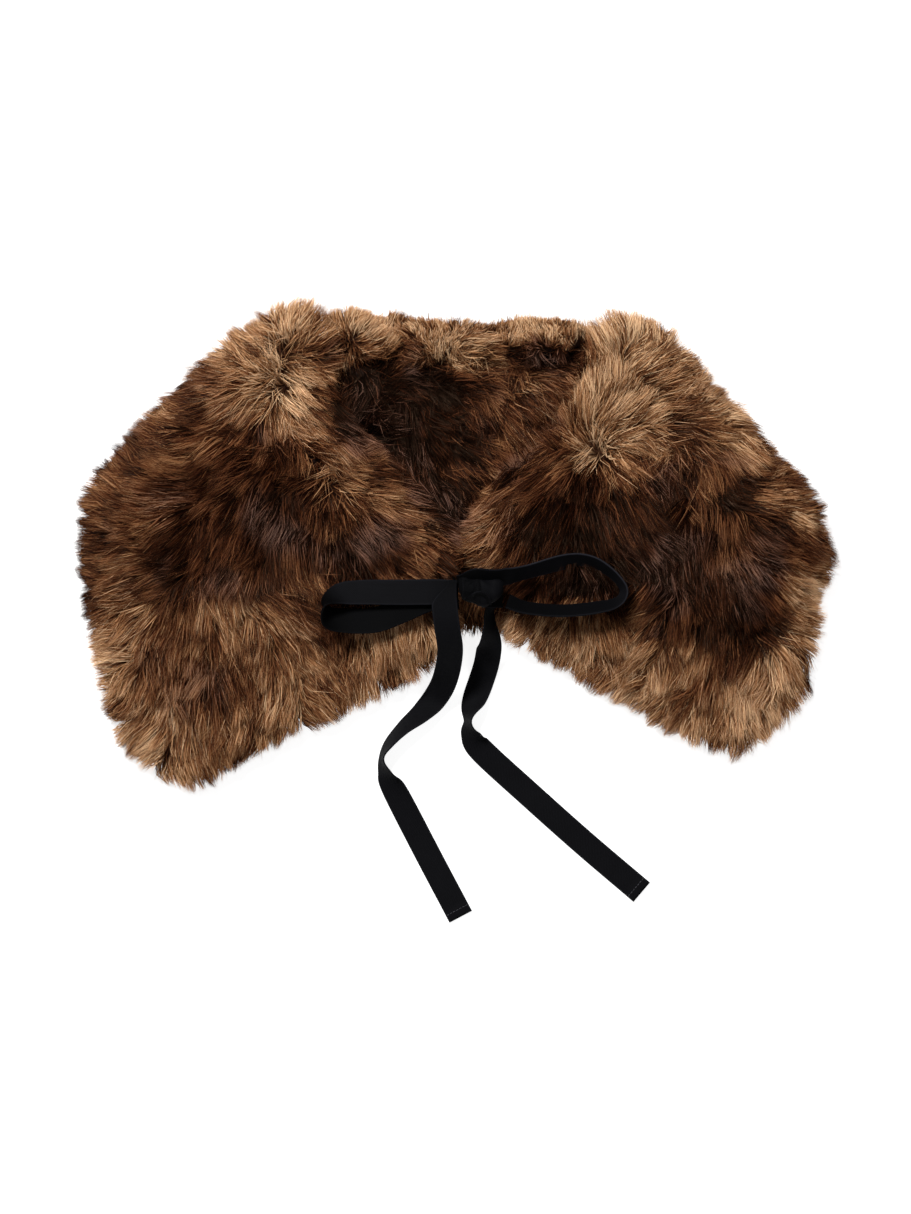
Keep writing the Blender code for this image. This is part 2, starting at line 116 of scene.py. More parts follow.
# Which way the pile lies, in each panel: x, y, towards
LEFT_SWEEPS = (
    (-118, 186, 98), (-107, 190, 94), (-99, 188, 90), (-86, 188, 76), (-80, 184, 62), (-84, 174, 64),
    (-100, 174, 96), (-113, 170, 120), (-128, 174, 138), (-136, 166, 150), (-120, 158, 132),
    (-144, 160, 165), (-160, 150, 170), (-148, 142, 172), (-130, 142, 172), (-137, 134, 193),
    (-140, 120, 203), (-130, 106, 222), (-180, 130, 172), (-160, 118, 176), (-190, 112, 172),
    (-212, 98, 168), (-200, 92, 170), (-172, 104, 176), (-150, 95, 187), (-122, 92, 210), (-222, 86, 170),
    (-230, 70, 175), (-233, 45, 178), (-205, 70, 168), (-175, 75, 180), (-160, 75, 188), (-208, 45, 172),
    (-188, 58, 174), (-136, 68, 220), (-152, 55, 235), (-130, 48, 254), (-110, 66, 238), (-98, 56, 240),
    (-118, 130, 240), (-114, 142, 120), (-99, 144, 308), (-95, 130, 310), (-100, 118, 312),
    (-110, 113, 286), (-92, 108, 322), (-80, 105, 335), (-70, 103, 345), (-105, 153, 300), (-88, 152, 318),
    (-76, 150, 328), (-86, 128, 320), (-74, 86, 12), (-60, 92, 354), (-50, 80, 346), (-68, 70, 334),
    (-54, 66, 342), (-36, 66, 338), (-25, 55, 333), (-11, 47, 330), (-30, 36, 328), (-48, 42, 320),
    (-68, 45, 300), (-80, 55, 285), (-92, 46, 264), (-80, 35, 278), (-70, 26, 278), (-98, 26, 295),
    (-80, 26, 287), (-12, 34, 318), (-54, 22, 292), (-36, 18, 296), (-18, 14, 290), (-90, 82, 170),
    (-88, 72, 240), (-117, 5, 303), (-136, -5, 305), (-150, 4, 285), (-161, 0, 255), (-167, -10, 250),
    (-98, -20, 303), (-80, -33, 288), (-112, -45, 275), (-98, -58, 280), (-80, -52, 276), (-66, -48, 276),
    (-130, -58, 275), (-149, -58, 280), (-161, -70, 275), (-174, -90, 268), (-168, -108, 270),
    (-150, -96, 276), (-192, -84, 242), (-183, -92, 254), (-184, -103, 254), (-205, -90, 235),
    (-211, -77, 214), (-218, -58, 206), (-205, -60, 215), (-193, -50, 224), (-206, -50, 194),
    (-218, -33, 203), (-224, -20, 190), (-206, -20, 210), (-212, -2, 202), (-208, -12, 213),
    (-212, 10, 188), (-226, 30, 178), (-226, 5, 179), (-231, 22, 180), (-193, 30, 184), (-205, 28, 180),
    (-187, 5, 205), (-180, -20, 236), (-168, -22, 250), (-161, -33, 262), (-180, -42, 238),
    (-177, -58, 264), (-187, -64, 244), (-133, -87, 286), (-99, -73, 279), (-73, -58, 280), (-48, -50, 276),
    (-36, -38, 283), (-17, -27, 285), (-48, -30, 280), (-36, -18, 280), (-23, -8, 282), (-14, -14, 292),
    (-6, 2, 306), (-3, -10, 306), (-12, -4, 304), (0, -15, 312), (-66, -28, 280), (-60, 0, 285),
    (-35, 6, 285), (-90, 2, 300), (-150, 30, 240), (-118, 30, 268), (-150, -30, 288), (-130, -30, 285),
)
RIGHT_SWEEPS = (
    (84, 184, 122), (86, 172, 118), (100, 184, 98), (114, 180, 76), (124, 176, 60), (133, 168, 45),
    (139, 160, 36), (152, 146, 33), (171, 128, 35), (190, 110, 22), (150, 156, 40), (177, 122, 35),
    (196, 107, 8), (202, 92, 14), (214, 80, 10), (227, 60, 8), (231, 48, 352), (234, 28, 355),
    (89, 130, 72), (83, 124, 90), (77, 134, 108), (73, 122, 118), (67, 118, 130), (95, 136, 76),
    (98, 152, 80), (108, 148, 60), (114, 136, 42), (121, 140, 40), (127, 144, 25), (114, 116, 18),
    (121, 110, 6), (106, 122, 24), (127, 122, 6), (102, 104, 4), (114, 98, 345), (102, 92, 325),
    (114, 86, 310), (95, 86, 305), (88, 80, 285), (120, 80, 306), (128, 92, 316), (74, 100, 180),
    (66, 92, 215), (58, 82, 252), (72, 90, 236), (60, 104, 200), (139, 128, 4), (152, 130, 14),
    (158, 112, 6), (165, 105, 336), (170, 98, 320), (158, 92, 290), (170, 86, 310), (146, 86, 262),
    (138, 98, 228), (139, 80, 264), (150, 73, 267), (158, 67, 270), (142, 54, 275), (165, 80, 300),
    (177, 67, 315), (190, 80, 358), (202, 67, 0), (214, 54, 354), (190, 54, 322), (202, 42, 330),
    (214, 36, 340), (228, 30, 350), (120, 61, 315), (114, 68, 310), (102, 67, 300), (89, 62, 298),
    (70, 73, 272), (64, 55, 258), (53, 50, 255), (42, 80, 262), (52, 95, 258), (39, 67, 262), (30, 56, 225),
    (22, 62, 200), (10, 52, 160), (8, 45, 174), (14, 40, 188), (20, 34, 184), (28, 36, 200), (17, 78, 110),
    (24, 72, 130), (36, 45, 236), (120, 30, 275), (139, 30, 275), (158, 30, 280), (190, 30, 310),
    (202, 17, 330), (214, 11, 340), (222, 5, 345), (228, -8, 340), (214, -20, 325), (208, -33, 308),
    (214, -52, 308), (202, -70, 306), (196, -83, 303), (183, -89, 293), (171, -93, 280), (158, -83, 274),
    (150, -84, 268), (177, -50, 276), (190, -50, 292), (183, -70, 282), (165, -60, 272), (208, -14, 316),
    (101, -18, 302), (90, -8, 306), (95, -20, 296), (116, -33, 236), (110, -50, 226), (98, -48, 222),
    (86, -45, 228), (75, -35, 230), (60, -28, 226), (52, -14, 222), (40, -10, 236), (33, -20, 240),
    (36, 0, 242), (30, -6, 250), (66, -12, 222), (75, 0, 258), (82, -12, 240), (92, -30, 202),
    (88, -22, 212), (118, -8, 264), (120, -22, 246), (127, -32, 236), (134, -46, 254), (140, -33, 242),
    (146, -14, 278), (133, -62, 262), (126, -70, 256), (140, -72, 262), (152, -55, 268), (165, -40, 278),
    (183, -30, 234), (190, -33, 256), (202, -30, 286), (196, 0, 328), (197, 12, 335), (170, 0, 276),
    (150, 0, 272), (184, 6, 292), (158, -20, 276), (140, 6, 272), (127, 8, 270), (114, 10, 276),
    (100, 38, 312), (88, 42, 296), (110, 45, 292), (64, 12, 270), (46, 16, 262), (32, 24, 235),
    (90, 18, 290), (78, 100, 170), (86, 110, 80),
)
BACK_SWEEPS = (
    (-76, 174, 124), (-68, 172, 84), (-60, 176, 60), (-48, 178, 55), (-40, 172, 68), (-30, 172, 120),
    (-20, 172, 115), (-8, 170, 98), (2, 170, 88), (14, 168, 72), (26, 170, 60), (34, 168, 70),
    (40, 172, 98), (52, 174, 106), (64, 174, 112), (78, 172, 114), (-64, 149, 300), (-68, 138, 280),
    (-60, 133, 300), (-67, 111, 350), (-48, 111, 8), (-48, 154, 50), (-36, 147, 335), (-17, 146, 340),
    (-36, 154, 82), (-22, 154, 102), (-10, 154, 98), (2, 154, 90), (14, 154, 84), (25, 153, 66),
    (8, 137, 332), (26, 140, 300), (46, 146, 0), (64, 149, 10), (52, 130, 340), (64, 124, 335),
    (39, 118, 310), (52, 111, 320), (26, 118, 300), (14, 118, 300), (-5, 118, 300), (-23, 118, 295),
    (-17, 98, 300), (1, 92, 305), (20, 98, 310), (33, 102, 315), (-11, 80, 300), (8, 80, 305),
    (-30, 130, 285), (-36, 105, 275), (-33, 86, 300), (-20, 90, 300), (0, -10, 270), (12, 10, 270),
    (70, 152, 30), (-60, 155, 320), (-72, 163, 262), (-66, 162, 285), (-52, 160, 40), (-44, 160, 62),
    (-37, 158, 290), (-28, 160, 108), (-20, 157, 262), (-10, 159, 98), (-3, 157, 285), (6, 159, 88),
    (13, 157, 250), (22, 159, 66), (31, 157, 288), (40, 160, 98), (48, 160, 262), (56, 162, 108),
    (64, 162, 280), (72, 164, 112),
)

# The dye, from 0, near black, to 1, pale tan: x, y, half its width, half its height, shade
# Some patches are painted shade, not dye: under the neck roll, the neck opening's rim, the left front's
# point, under the left loop
PATCHES = (
    (-99, 182, 28, 12, .80), (-84, 176, 8, 8, .46), (-68, 183, 11, 10, .74), (-130, 166, 16, 12, .80),
    (-105, 166, 8, 6, .40), (-122, 142, 16, 15, .60), (-98, 138, 13, 18, .68), (-132, 126, 15, 10, .50),
    (-99, 115, 13, 11, .62), (-108, 108, 9, 9, .38), (-80, 103, 11, 7, .54), (-60, 83, 18, 11, .40),
    (-52, 95, 11, 9, .18), (-161, 158, 20, 12, .50), (-152, 130, 18, 14, .37), (-180, 127, 16, 9, .50),
    (-200, 103, 18, 12, .24), (-163, 107, 24, 14, .38), (-218, 82, 12, 12, .28), (-208, 74, 11, 9, .46),
    (-142, 83, 16, 11, .17), (-176, 73, 22, 12, .25), (-199, 55, 18, 12, .38), (-225, 48, 9, 16, .28),
    (-132, 112, 10, 8, .02), (-105, 83, 18, 14, .12), (-105, 65, 18, 15, .0), (-84, 80, 15, 15, .60),
    (-75, 56, 16, 12, .43), (-126, 46, 23, 13, .08), (-150, 42, 21, 12, .12), (-81, 22, 14, 16, .14),
    (-52, 74, 17, 11, .40), (-26, 56, 13, 10, .46), (-17, 37, 12, 10, .44), (-47, 42, 17, 12, .02),
    (-8, 66, 10, 12, .0), (-99, 20, 11, 11, .51), (-121, 23, 15, 11, .16), (-142, 11, 13, 6, .28),
    (-176, 21, 20, 15, .15), (-168, 4, 10, 12, .28), (-206, 26, 12, 8, .50), (-204, 5, 13, 9, .58),
    (-226, 20, 9, 18, .26), (-205, -8, 16, 10, .60), (-220, -38, 10, 12, .98), (-184, -14, 12, 10, .34),
    (-141, -2, 27, 10, .62), (-130, -20, 28, 14, .48), (-103, -24, 18, 16, .46), (-155, -30, 8, 9, .24),
    (-191, -50, 20, 10, .42), (-199, -67, 22, 12, .52), (-212, -58, 9, 12, .56), (-182, -83, 20, 20, .64),
    (-162, -57, 15, 11, .27), (-152, -52, 8, 8, .28), (-130, -80, 18, 14, .45), (-116, -54, 15, 16, .54),
    (-139, -42, 10, 8, .30), (-93, -58, 18, 15, .52), (-76, -40, 17, 14, .44), (-55, -27, 13, 12, .56),
    (-38, -20, 15, 13, .75), (-58, -56, 10, 6, .68), (-34, -48, 11, 9, .28), (-20, -14, 11, 12, .60),
    (-80, -6, 16, 10, .28), (-160, -99, 13, 9, .50), (-36, 171, 13, 8, .54), (-31, 179, 17, 6, .76),
    (-54, 178, 12, 8, .88), (-11, 171, 15, 8, .72), (8, 171, 13, 8, .46), (27, 171, 10, 8, .62),
    (49, 175, 13, 7, .66), (68, 175, 10, 9, .72), (-38, 161, 11, 6, .22), (-85, 156, 7, 11, .20),
    (-62, 164, 11, 5, .52), (-10, 161, 14, 7, .80), (17, 157, 10, 6, .50), (-70, 146, 9, 8, .54),
    (-75, 119, 12, 12, .0), (-61, 133, 16, 9, .03), (-26, 142, 20, 10, .0), (8, 139, 16, 8, .12),
    (-67, 111, 9, 6, .16), (-46, 110, 10, 8, .08), (-20, 119, 15, 18, .07), (8, 112, 15, 18, .13),
    (36, 117, 14, 15, .50), (45, 144, 22, 7, .40), (69, 149, 12, 6, .24), (43, 159, 14, 6, .08),
    (58, 157, 14, 6, .04), (76, 161, 10, 5, .06), (55, 126, 9, 8, .42), (-30, 99, 12, 15, .05),
    (-11, 86, 15, 15, .18), (20, 88, 12, 12, .20), (20, 133, 8, 6, .05), (0, 58, 9, 9, .02),
    (89, 177, 15, 15, .86), (114, 180, 18, 12, .90), (133, 174, 11, 12, .84), (102, 155, 18, 15, .78),
    (91, 138, 12, 18, .86), (84, 112, 9, 15, .84), (64, 108, 9, 10, .25), (114, 130, 22, 18, .82),
    (106, 106, 22, 9, .78), (127, 143, 9, 9, .68), (152, 149, 15, 12, .74), (165, 133, 13, 11, .88),
    (147, 132, 9, 8, .32), (139, 105, 11, 9, .42), (160, 108, 12, 9, .56), (176, 107, 10, 7, .58),
    (176, 93, 8, 7, .34), (190, 106, 15, 11, .50), (191, 88, 14, 11, .52), (206, 75, 12, 12, .46),
    (221, 64, 9, 12, .57), (221, 36, 12, 9, .36), (176, 77, 10, 10, .08), (157, 82, 11, 12, .26),
    (136, 82, 9, 9, .14), (89, 94, 15, 7, .88), (95, 80, 12, 7, .88), (114, 86, 12, 9, .54),
    (57, 90, 12, 12, .35), (45, 86, 15, 12, .12), (74, 74, 12, 12, .12), (95, 67, 15, 12, .22),
    (114, 61, 18, 12, .10), (70, 55, 15, 12, .02), (52, 57, 9, 15, .04), (36, 49, 9, 15, .20),
    (18, 46, 14, 13, .49), (14, 33, 12, 8, .72), (28, 67, 12, 9, .36), (20, 80, 6, 8, .52),
    (102, 36, 25, 12, .06), (139, 42, 18, 12, .08), (151, 63, 8, 11, .42), (121, 23, 18, 18, .05),
    (146, 17, 15, 15, .23), (163, 18, 12, 13, .27), (177, 42, 12, 9, .24), (196, 40, 15, 10, .18),
    (190, 12, 16, 18, .0), (152, -8, 15, 15, .12), (184, -8, 18, 12, .06), (208, 20, 9, 11, .48),
    (217, 4, 16, 15, 1.0), (208, -14, 12, 8, .82), (224, -16, 7, 7, .72), (228, 23, 7, 7, .44),
    (66, 14, 26, 9, .02), (93, 10, 9, 5, .30), (115, -2, 4, 12, .46), (127, -8, 9, 9, .17),
    (140, -22, 8, 6, .52), (45, -14, 18, 12, .70), (64, -8, 15, 7, .58), (68, -28, 20, 12, .74),
    (97, -22, 12, 12, .48), (85, -41, 14, 11, .54), (111, -45, 13, 15, .76), (133, -33, 6, 6, .42),
    (152, -33, 9, 12, .54), (164, -33, 8, 12, .28), (177, -27, 15, 7, .26), (181, -48, 17, 14, .80),
    (158, -57, 12, 7, .28), (139, -52, 12, 12, .68), (200, -42, 12, 12, .48), (204, -61, 10, 13, .84),
    (214, -33, 8, 12, .56), (190, -70, 18, 15, .76), (164, -80, 18, 12, .66), (133, -70, 12, 12, .68),
    (5, -6, 14, 14, .46), (-2, 31, 8, 10, .0),
)

# Routes of the tape's middle line, within 2 mm of the solids': x, y, height of its lower edge, lean
LOOP_LEFT_ROUTE = (
    (0.4, 9.6, 46.6, 4), (-14, 10.2, 46.6, 6), (-36, 10, 46.2, 10), (-60, 10, 45, 18),
    (-74, 8.6, 43.6, 38), (-82.5, 2.4, 42.65, 80), (-80, -5.6, 42.65, 140), (-70, -7.6, 42.65, 160),
    (-52, -7.4, 42.65, 166), (-36, -1.6, 42.65, 172), (-17, 6.4, 43, 176), (0.4, 8, 43.2, 178),
)
LOOP_RIGHT_ROUTE = (
    (29.6, 19.6, 46, 50), (37, 21.2, 44.8, 58), (46, 23.4, 43.6, 59), (55, 26, 43, 57),
    (65, 28.6, 42.65, 56), (75, 30.2, 42.65, 62), (84.5, 28.6, 42.65, 67), (92.5, 24, 42.65, 71),
    (98.8, 18.4, 42.65, 74), (103, 12, 42.65, 75), (101.6, 6.2, 42.65, 73), (96, 2.6, 42.65, 68),
    (87, 0.7, 42.65, 64), (76, -0.8, 42.65, 63), (64, -1.4, 42.65, 63), (52, -0.8, 42.65, 63),
    (40, 1.0, 42.65, 62), (31, 4.6, 43.2, 58),
)
TAIL_LEFT_ROUTE = (
    (-8.6, 17.5, 50.5, 0), (-8.4, 5, 50.2, 0), (-6.6, -11, 46.5, 0), (-4.6, -26.6, 36, 0),
    (-7.8, -44, 17, 6), (-14.4, -56.4, 3, 18), (-23, -65.6, 0.2, 40), (-34, -74.8, 0.2, 59),
    (-43, -84.6, 0.2, 70), (-47.6, -93.6, 0.2, 80), (-45.4, -103, 0.2, 60),
    (-38.2, -116.4, 0.2, 16), (-18, -155.4, 0.2, 0), (2, -193.2, 0.2, 0),
)
TAIL_RIGHT_ROUTE = (
    (16.4, 4, 41.2, 0), (17, -3, 32, -28), (18.4, -9, 23, -50), (19.4, -17, 18.6, -40),
    (19.6, -25, 13, -10), (18, -35, 5, 0), (14.6, -46, 0.3, 2), (10.2, -58, 0.2, 26),
    (6.4, -70, 0.2, 74), (8.6, -79.6, 0.2, 42), (16, -90, 0.2, 6), (44.4, -116, 0.2, 0),
    (79.4, -147.2, 0.2, 0), (115.4, -177.8, 0.2, 0),
)
ROOT_LEFT_ROUTE = ((-12.0, 29.8, 39.8, 0), (-4.0, 27.2, 39.4, 0), (3.0, 25.2, 41.0, 0))
ROOT_RIGHT_ROUTE = ((28.0, 8.4, 42.8, 0), (22.0, 8.4, 42.8, 0), (15.0, 8.4, 42.8, 0))
# Where the tape passes over the knot before it makes the right loop, and the folds that show below
PASS_ROUTE = ((-1.0, 21.6, 47.6, 46), (7, 20.6, 49.6, 52), (15, 19.8, 49.4, 54), (22.5, 19.2, 47.8, 53))
FOLD_ROUTE = (
    (6.4, 17.6, 53.4, -10), (6.6, 13.4, 54.8, -14), (6.4, 9.6, 54.2, -16), (6.0, 6.0, 50.6, -18),
)
ARCH_ROUTE = (
    (9.4, 7.6, 50.6, 58), (12.4, 9.0, 51.6, 54), (15.6, 8.6, 51.4, 50), (18.4, 6.4, 50.4, 50),
    (19.2, 2.6, 48.6, 50),
)
# The drawn wraps under them: x, y, half_length, half_height
CORE_SECTIONS = (
    (0.6, 14.6, 4.0, 2.4), (3, 13.2, 7.2, 4.6), (6.4, 12.0, 8.0, 5.8), (10, 11.2, 8.0, 5.2),
    (13.4, 10.2, 8.8, 6.2), (17, 9.6, 8.8, 6.0), (20.4, 10.6, 7.8, 5.4), (23.6, 11.6, 7.0, 5.4),
    (26.4, 12.6, 5.4, 4.2), (28.4, 13.4, 3.0, 2.2),
)
CORE_HEIGHT = 51.2
CORE_SIDES = 36
PRESSED = (13.0, 19.0)  # where the creases run together
CREASES, CREASE_DEEP = 7.0, 0.55
# What shows of the tape: node, route, how it is held and on what, and how it looks, with painted light and
# shade along it (lit)
TAPES = (
    ("tie_root_left", ROOT_LEFT_ROUTE, "laid", "fur_front_left", dict(lit=((0, .6),))),
    ("tie_root_right", ROOT_RIGHT_ROUTE, "laid", "fur_front_right", dict(lit=((0, .6),))),
    ("bow_loop_left", LOOP_LEFT_ROUTE, "folded", "fur_front_left", dict(
        lit=((0, .6), (20, 1), (72, 1), (82, .2), (100, .2), (112, .32), (140, .28), (160, .15)))),
    ("bow_loop_right", PASS_ROUTE + LOOP_RIGHT_ROUTE, "folded", "fur_front_right", dict(
        drawn=(0.4, 14, -1), lit=((0, .5), (28, .7), (48, 2), (112, 2), (126, .8), (190, .45)))),
    ("tie_tail_left", TAIL_LEFT_ROUTE, "draped", "fur_front_left", dict(
        hemmed=True, drawn=(0.3, 16, 1), lit=((0, .6), (14, 1), (60, 1), (80, .8), (100, 1)))),
    ("tie_tail_right", TAIL_RIGHT_ROUTE, "draped", "fur_back", dict(
        hemmed=True, drawn=(0.42, 34, 1), lit=((0, .3), (16, .5), (34, 1)))),
)

# Where the pile reaches further out than its solid, or less far: x, y, how far round, by how much
TRIMS = (
    (-109, 194, 5, 11), (-99, 195, 4, 6), (-83, 194, 6, 13), (-74, 191, 6, 10), (-62, 189, 5, 4),
    (-53, 187, 4, 4), (-121, 181, 7, -8), (-133, 176, 7, -4), (-142, 168, 10, -3), (-191, 124, 10, -8),
    (-208, 103, 7, 5), (-222, 81, 8, -4), (-40, 178, 14, -6), (-10, 177, 14, -8), (14, 178, 10, -6),
    (31, 178, 6, -11), (45, 181, 12, -6), (83, 188, 6, 14), (98, 188, 8, -4), (132, 176, 8, -2),
    (143, 164, 10, -10), (160, 145, 12, -10), (172, 132, 8, -5), (190, 108, 8, 3), (210, 85, 14, -11),
    (-236, 39, 16, 3), (-232, 17, 8, 5), (-229, -8, 8, 4), (-222, -45, 10, 5), (-214, -70, 7, 11),
    (-188, -102, 7, 10), (-140, -103, 14, -5), (-97, -76, 5, 6), (-50, -54, 18, -2), (-14, -36, 10, -8),
    (28, -20, 9, 12), (38, -24, 7, 6), (46, -26, 5, 5), (56, -32, 12, 3), (108, -62, 12, -3),
    (123, -75, 6, 6), (150, -86, 7, 9), (162, -91, 8, 9), (172, -95, 8, 6), (186, -86, 9, 7),
    (196, -80, 10, 6), (226, -7, 10, 4), (234, 24, 8, 6), (6, -13, 9, 3), (3, -24, 7, 14),
)
# Where the pile of the left front, the right front and the inner back laps over the panel beside it
LAPS_LEFT = ((-72, 158, 9, 12), (-74, 172, 8, 6), (5, -21, 9, 16))
LAPS_RIGHT = ((28, -14, 9, 9),)
LAPS_BACK = ((-34, 157, 10, 6), (-16, 157, 11, 7), (4, 157, 11, 7), (20, 157, 9, 6))
# Where locks lie over the tape's edge: x, y, how far round, share of the strands that do
OVER_TAPE = (
    (28, -4, 7, .5), (30, -12, 6, .5), (31, -20, 5, .35), (38, -2, 8, .5), (34, 3, 6, .5), (3, -8, 5, .4),
)

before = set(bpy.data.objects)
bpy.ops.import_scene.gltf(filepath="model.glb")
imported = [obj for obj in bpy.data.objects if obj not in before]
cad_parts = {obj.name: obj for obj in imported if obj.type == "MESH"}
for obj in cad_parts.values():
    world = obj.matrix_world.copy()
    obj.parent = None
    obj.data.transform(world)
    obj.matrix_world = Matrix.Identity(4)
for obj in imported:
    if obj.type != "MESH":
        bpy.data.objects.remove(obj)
solids_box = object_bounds()


# ---------------------------------------------------------------- small sums

def ease(x):
    x = np.clip(x, 0, 1)
    return x * x * (3 - 2 * x)


def unit(v):
    return v / np.maximum(np.linalg.norm(v, axis=-1, keepdims=True), 1e-12)


def waves(points, size, seed):
    """Smooth uneven swells within about 1 either way, size across."""
    count = 14
    draw = np.random.default_rng(seed)
    points = np.asarray(points, float)
    way = unit(draw.normal(size=(count, points.shape[-1])))
    pace = math.tau / (size * draw.uniform(0.8, 2.2, count))
    start = draw.uniform(0, math.tau, count)
    return np.sin(points @ (way * pace[:, None]).T + start).sum(-1) / math.sqrt(count / 2) * 0.6


def spline(rows, per_span=12):
    """A dense Catmull-Rom curve through the rows, all columns alike."""
    rows = np.array(rows, float)
    knots = np.vstack([2 * rows[0] - rows[1], rows, 2 * rows[-1] - rows[-2]])
    t = np.linspace(0, 1, per_span, endpoint=False)[:, None]
    spans = []
    for a, b, c, d in zip(knots[:-3], knots[1:-2], knots[2:-1], knots[3:]):
        spans.append(0.5 * (2 * b + (c - a) * t + (2 * a - 5 * b + 4 * c - d) * t**2
                            + (3 * b - a - 3 * c + d) * t**3))
    return np.vstack([*spans, rows[-1:]])


def lengths(points):
    """How far along the line each of its points is."""
    return np.concatenate([[0], np.cumsum(np.linalg.norm(np.diff(points, axis=0), axis=1))])


def even(curve, count):
    """That many points at even steps along the curve."""
    along = lengths(curve[:, :3])
    at = np.linspace(0, along[-1], count)
    return np.array([np.interp(at, along, column) for column in curve.T]).T


# ---------------------------------------------------------------- finishes

def tint(red, green, blue):
    """A colour given as it is seen, 0 to 255, as the light that the shader works with."""
    seen = np.array([red, green, blue]) / 255
    light = np.where(seen <= 0.04045, seen / 12.92, ((seen + 0.055) / 1.055) ** 2.4)
    return (*light.tolist(), 1.0)


class Flow:
    """A number that runs through a material's nodes: arithmetic on it adds Math nodes."""

    def __init__(self, finish, socket):
        self.finish, self.socket = finish, socket

    def sum(self, operation, *others):
        return self.finish.add("ShaderNodeMath", {"operation": operation}, self, *others)

    def __add__(self, other):
        return self.sum("ADD", other)

    __radd__ = __add__

    def __mul__(self, other):
        return self.sum("MULTIPLY", other)

    __rmul__ = __mul__

    def __sub__(self, other):
        return self.sum("SUBTRACT", other)

    def __rsub__(self, other):
        return self.finish.add("ShaderNodeMath", {"operation": "SUBTRACT"}, other, self)

    def __truediv__(self, other):
        return self.sum("DIVIDE", other)

    def sine(self):
        return self.sum("SINE")

    def within(self, low, high):
        """0 below low, 1 above high, smooth between."""
        settings = {"interpolation_type": "SMOOTHSTEP"}
        return self.finish.add("ShaderNodeMapRange", settings, self, low, high, 0.0, 1.0)


class Finish:
    """A material under way: its nodes, and the surface that they end in."""

    def __init__(self, name):
        self.material = bpy.data.materials.new(name)
        self.material.use_nodes = True
        self.tree = self.material.node_tree
        self.surface = self.tree.nodes["Principled BSDF"]

    def add(self, kind, settings, *values, out=0, **named):
        """A node of that type with its settings, fed with values in order or by name; its output."""
        node = self.tree.nodes.new(kind)
        for key, value in settings.items():
            if key == "stops":
                ramp = node.color_ramp
                while len(ramp.elements) < len(value):
                    ramp.elements.new(0.5)
                for stop, (at, colour) in zip(ramp.elements, value):
                    stop.position, stop.color = at, colour
            else:
                setattr(node, key, value)
        for socket, value in zip(node.inputs, values):
            self.feed(socket, value)
        for key, value in named.items():
            self.feed(node.inputs[key.replace("_", " ")], value)
        return Flow(self, node.outputs[out])

    def feed(self, socket, value):
        if isinstance(value, Flow):
            self.tree.links.new(value.socket, socket)
        elif value is not None:
            socket.default_value = value

    def attribute(self, name):
        return self.add("ShaderNodeAttribute", {"attribute_name": name}, out=2)

    def place(self):
        """Where a point is on its own piece, in metres."""
        return self.add("ShaderNodeTexCoord", {}, out=3)

    def ramp(self, value, stops):
        return self.add("ShaderNodeValToRGB", {"stops": stops}, value)

    def blend(self, first, second, share, how="MIX"):
        """The second colour over the first, by that share."""
        settings = {"data_type": "RGBA", "blend_type": how, "clamp_factor": True}
        return self.add("ShaderNodeMix", settings, share, *[None] * 5, first, second, out=2)

    def noise(self, where, scale, detail=2.0, rough=0.5):
        return self.add("ShaderNodeTexNoise", {}, Vector=where, Scale=scale, Detail=detail, Roughness=rough)

    def bump(self, height, strength, depth):
        return self.add("ShaderNodeBump", {}, Strength=strength, Distance=depth, Height=height)

    def wear(self, **sockets):
        """The material, with its surface's own sockets fed."""
        for key, value in sockets.items():
            self.feed(self.surface.inputs[key.replace("_", " ")], value)
        return self.material


DYES = (
    (0.00, tint(10, 3, 1)),
    (0.14, tint(36, 15, 7)),
    (0.30, tint(67, 35, 19)),
    (0.46, tint(104, 63, 38)),
    (0.64, tint(145, 99, 64)),
    (0.82, tint(186, 140, 98)),
    (1.00, tint(224, 184, 142)),
)


def pile_finish():
    """Dyed strands: dark at the root, by their own colour and by painted shade deep in the pile, paler
    towards the tip, each a little off its neighbours, some with a painted sheen.
    """
    f = Finish("dyed_pile")
    along, tone, dye = f.attribute("along"), f.attribute("tone"), f.attribute("dye")
    place = f.place()
    streak = f.noise(place, 760.0, 2.0) - 0.5
    shade = dye * 1.12 + tone * (dye * 0.08 + 0.13) + streak * 0.14 + along.within(0.45, 1.0) * 0.06 - 0.12
    colour = f.ramp(shade, DYES)
    warmth = f.noise(place, 34.0, 1.0).within(0.40, 0.66)
    colour = f.blend(colour, tint(214, 140, 104), warmth * 0.16 * (1 - dye), "MULTIPLY")
    # Darker towards the root: partly the underfur's own colour, partly painted shade deep in the pile
    root = 1 - along.within(0.0, 0.82)
    colour = f.blend(colour, tint(62, 36, 24), root * 0.97, "MULTIPLY")
    # Painted sheen: pale grey-pink glints painted on some hairs in the dark patches
    painted_sheen = f.noise(place, 26.0, 1.0).within(0.46, 0.66) * tone.within(1.0, 2.2) * along.within(0.25, 0.7)
    colour = f.blend(colour, tint(146, 114, 100), painted_sheen * 0.55 * (1 - dye))
    rough = 0.42 + tone * 0.05 + root * 0.25
    return f.wear(Base_Color=colour, Roughness=rough, Specular_IOR_Level=0.07,
                  Specular_Tint=(1.0, 0.60, 0.38, 1.0))


def ground_finish():
    """The fur cloth's knitted ground with the pile's roots on it."""
    f = Finish("pile_ground")
    place = f.place()
    dye = f.attribute("dye")
    roots = f.noise(place, 900.0, 3.0, 0.7)
    colour = f.ramp(dye * 0.55 + (roots - 0.5) * 0.25, DYES)
    colour = f.blend(colour, tint(70, 50, 42), 0.8, "MULTIPLY")
    return f.wear(Base_Color=colour, Roughness=0.85 + roots * 0.1, Specular_IOR_Level=0.2,
                  Normal=f.bump(roots, 0.6, 0.0008))


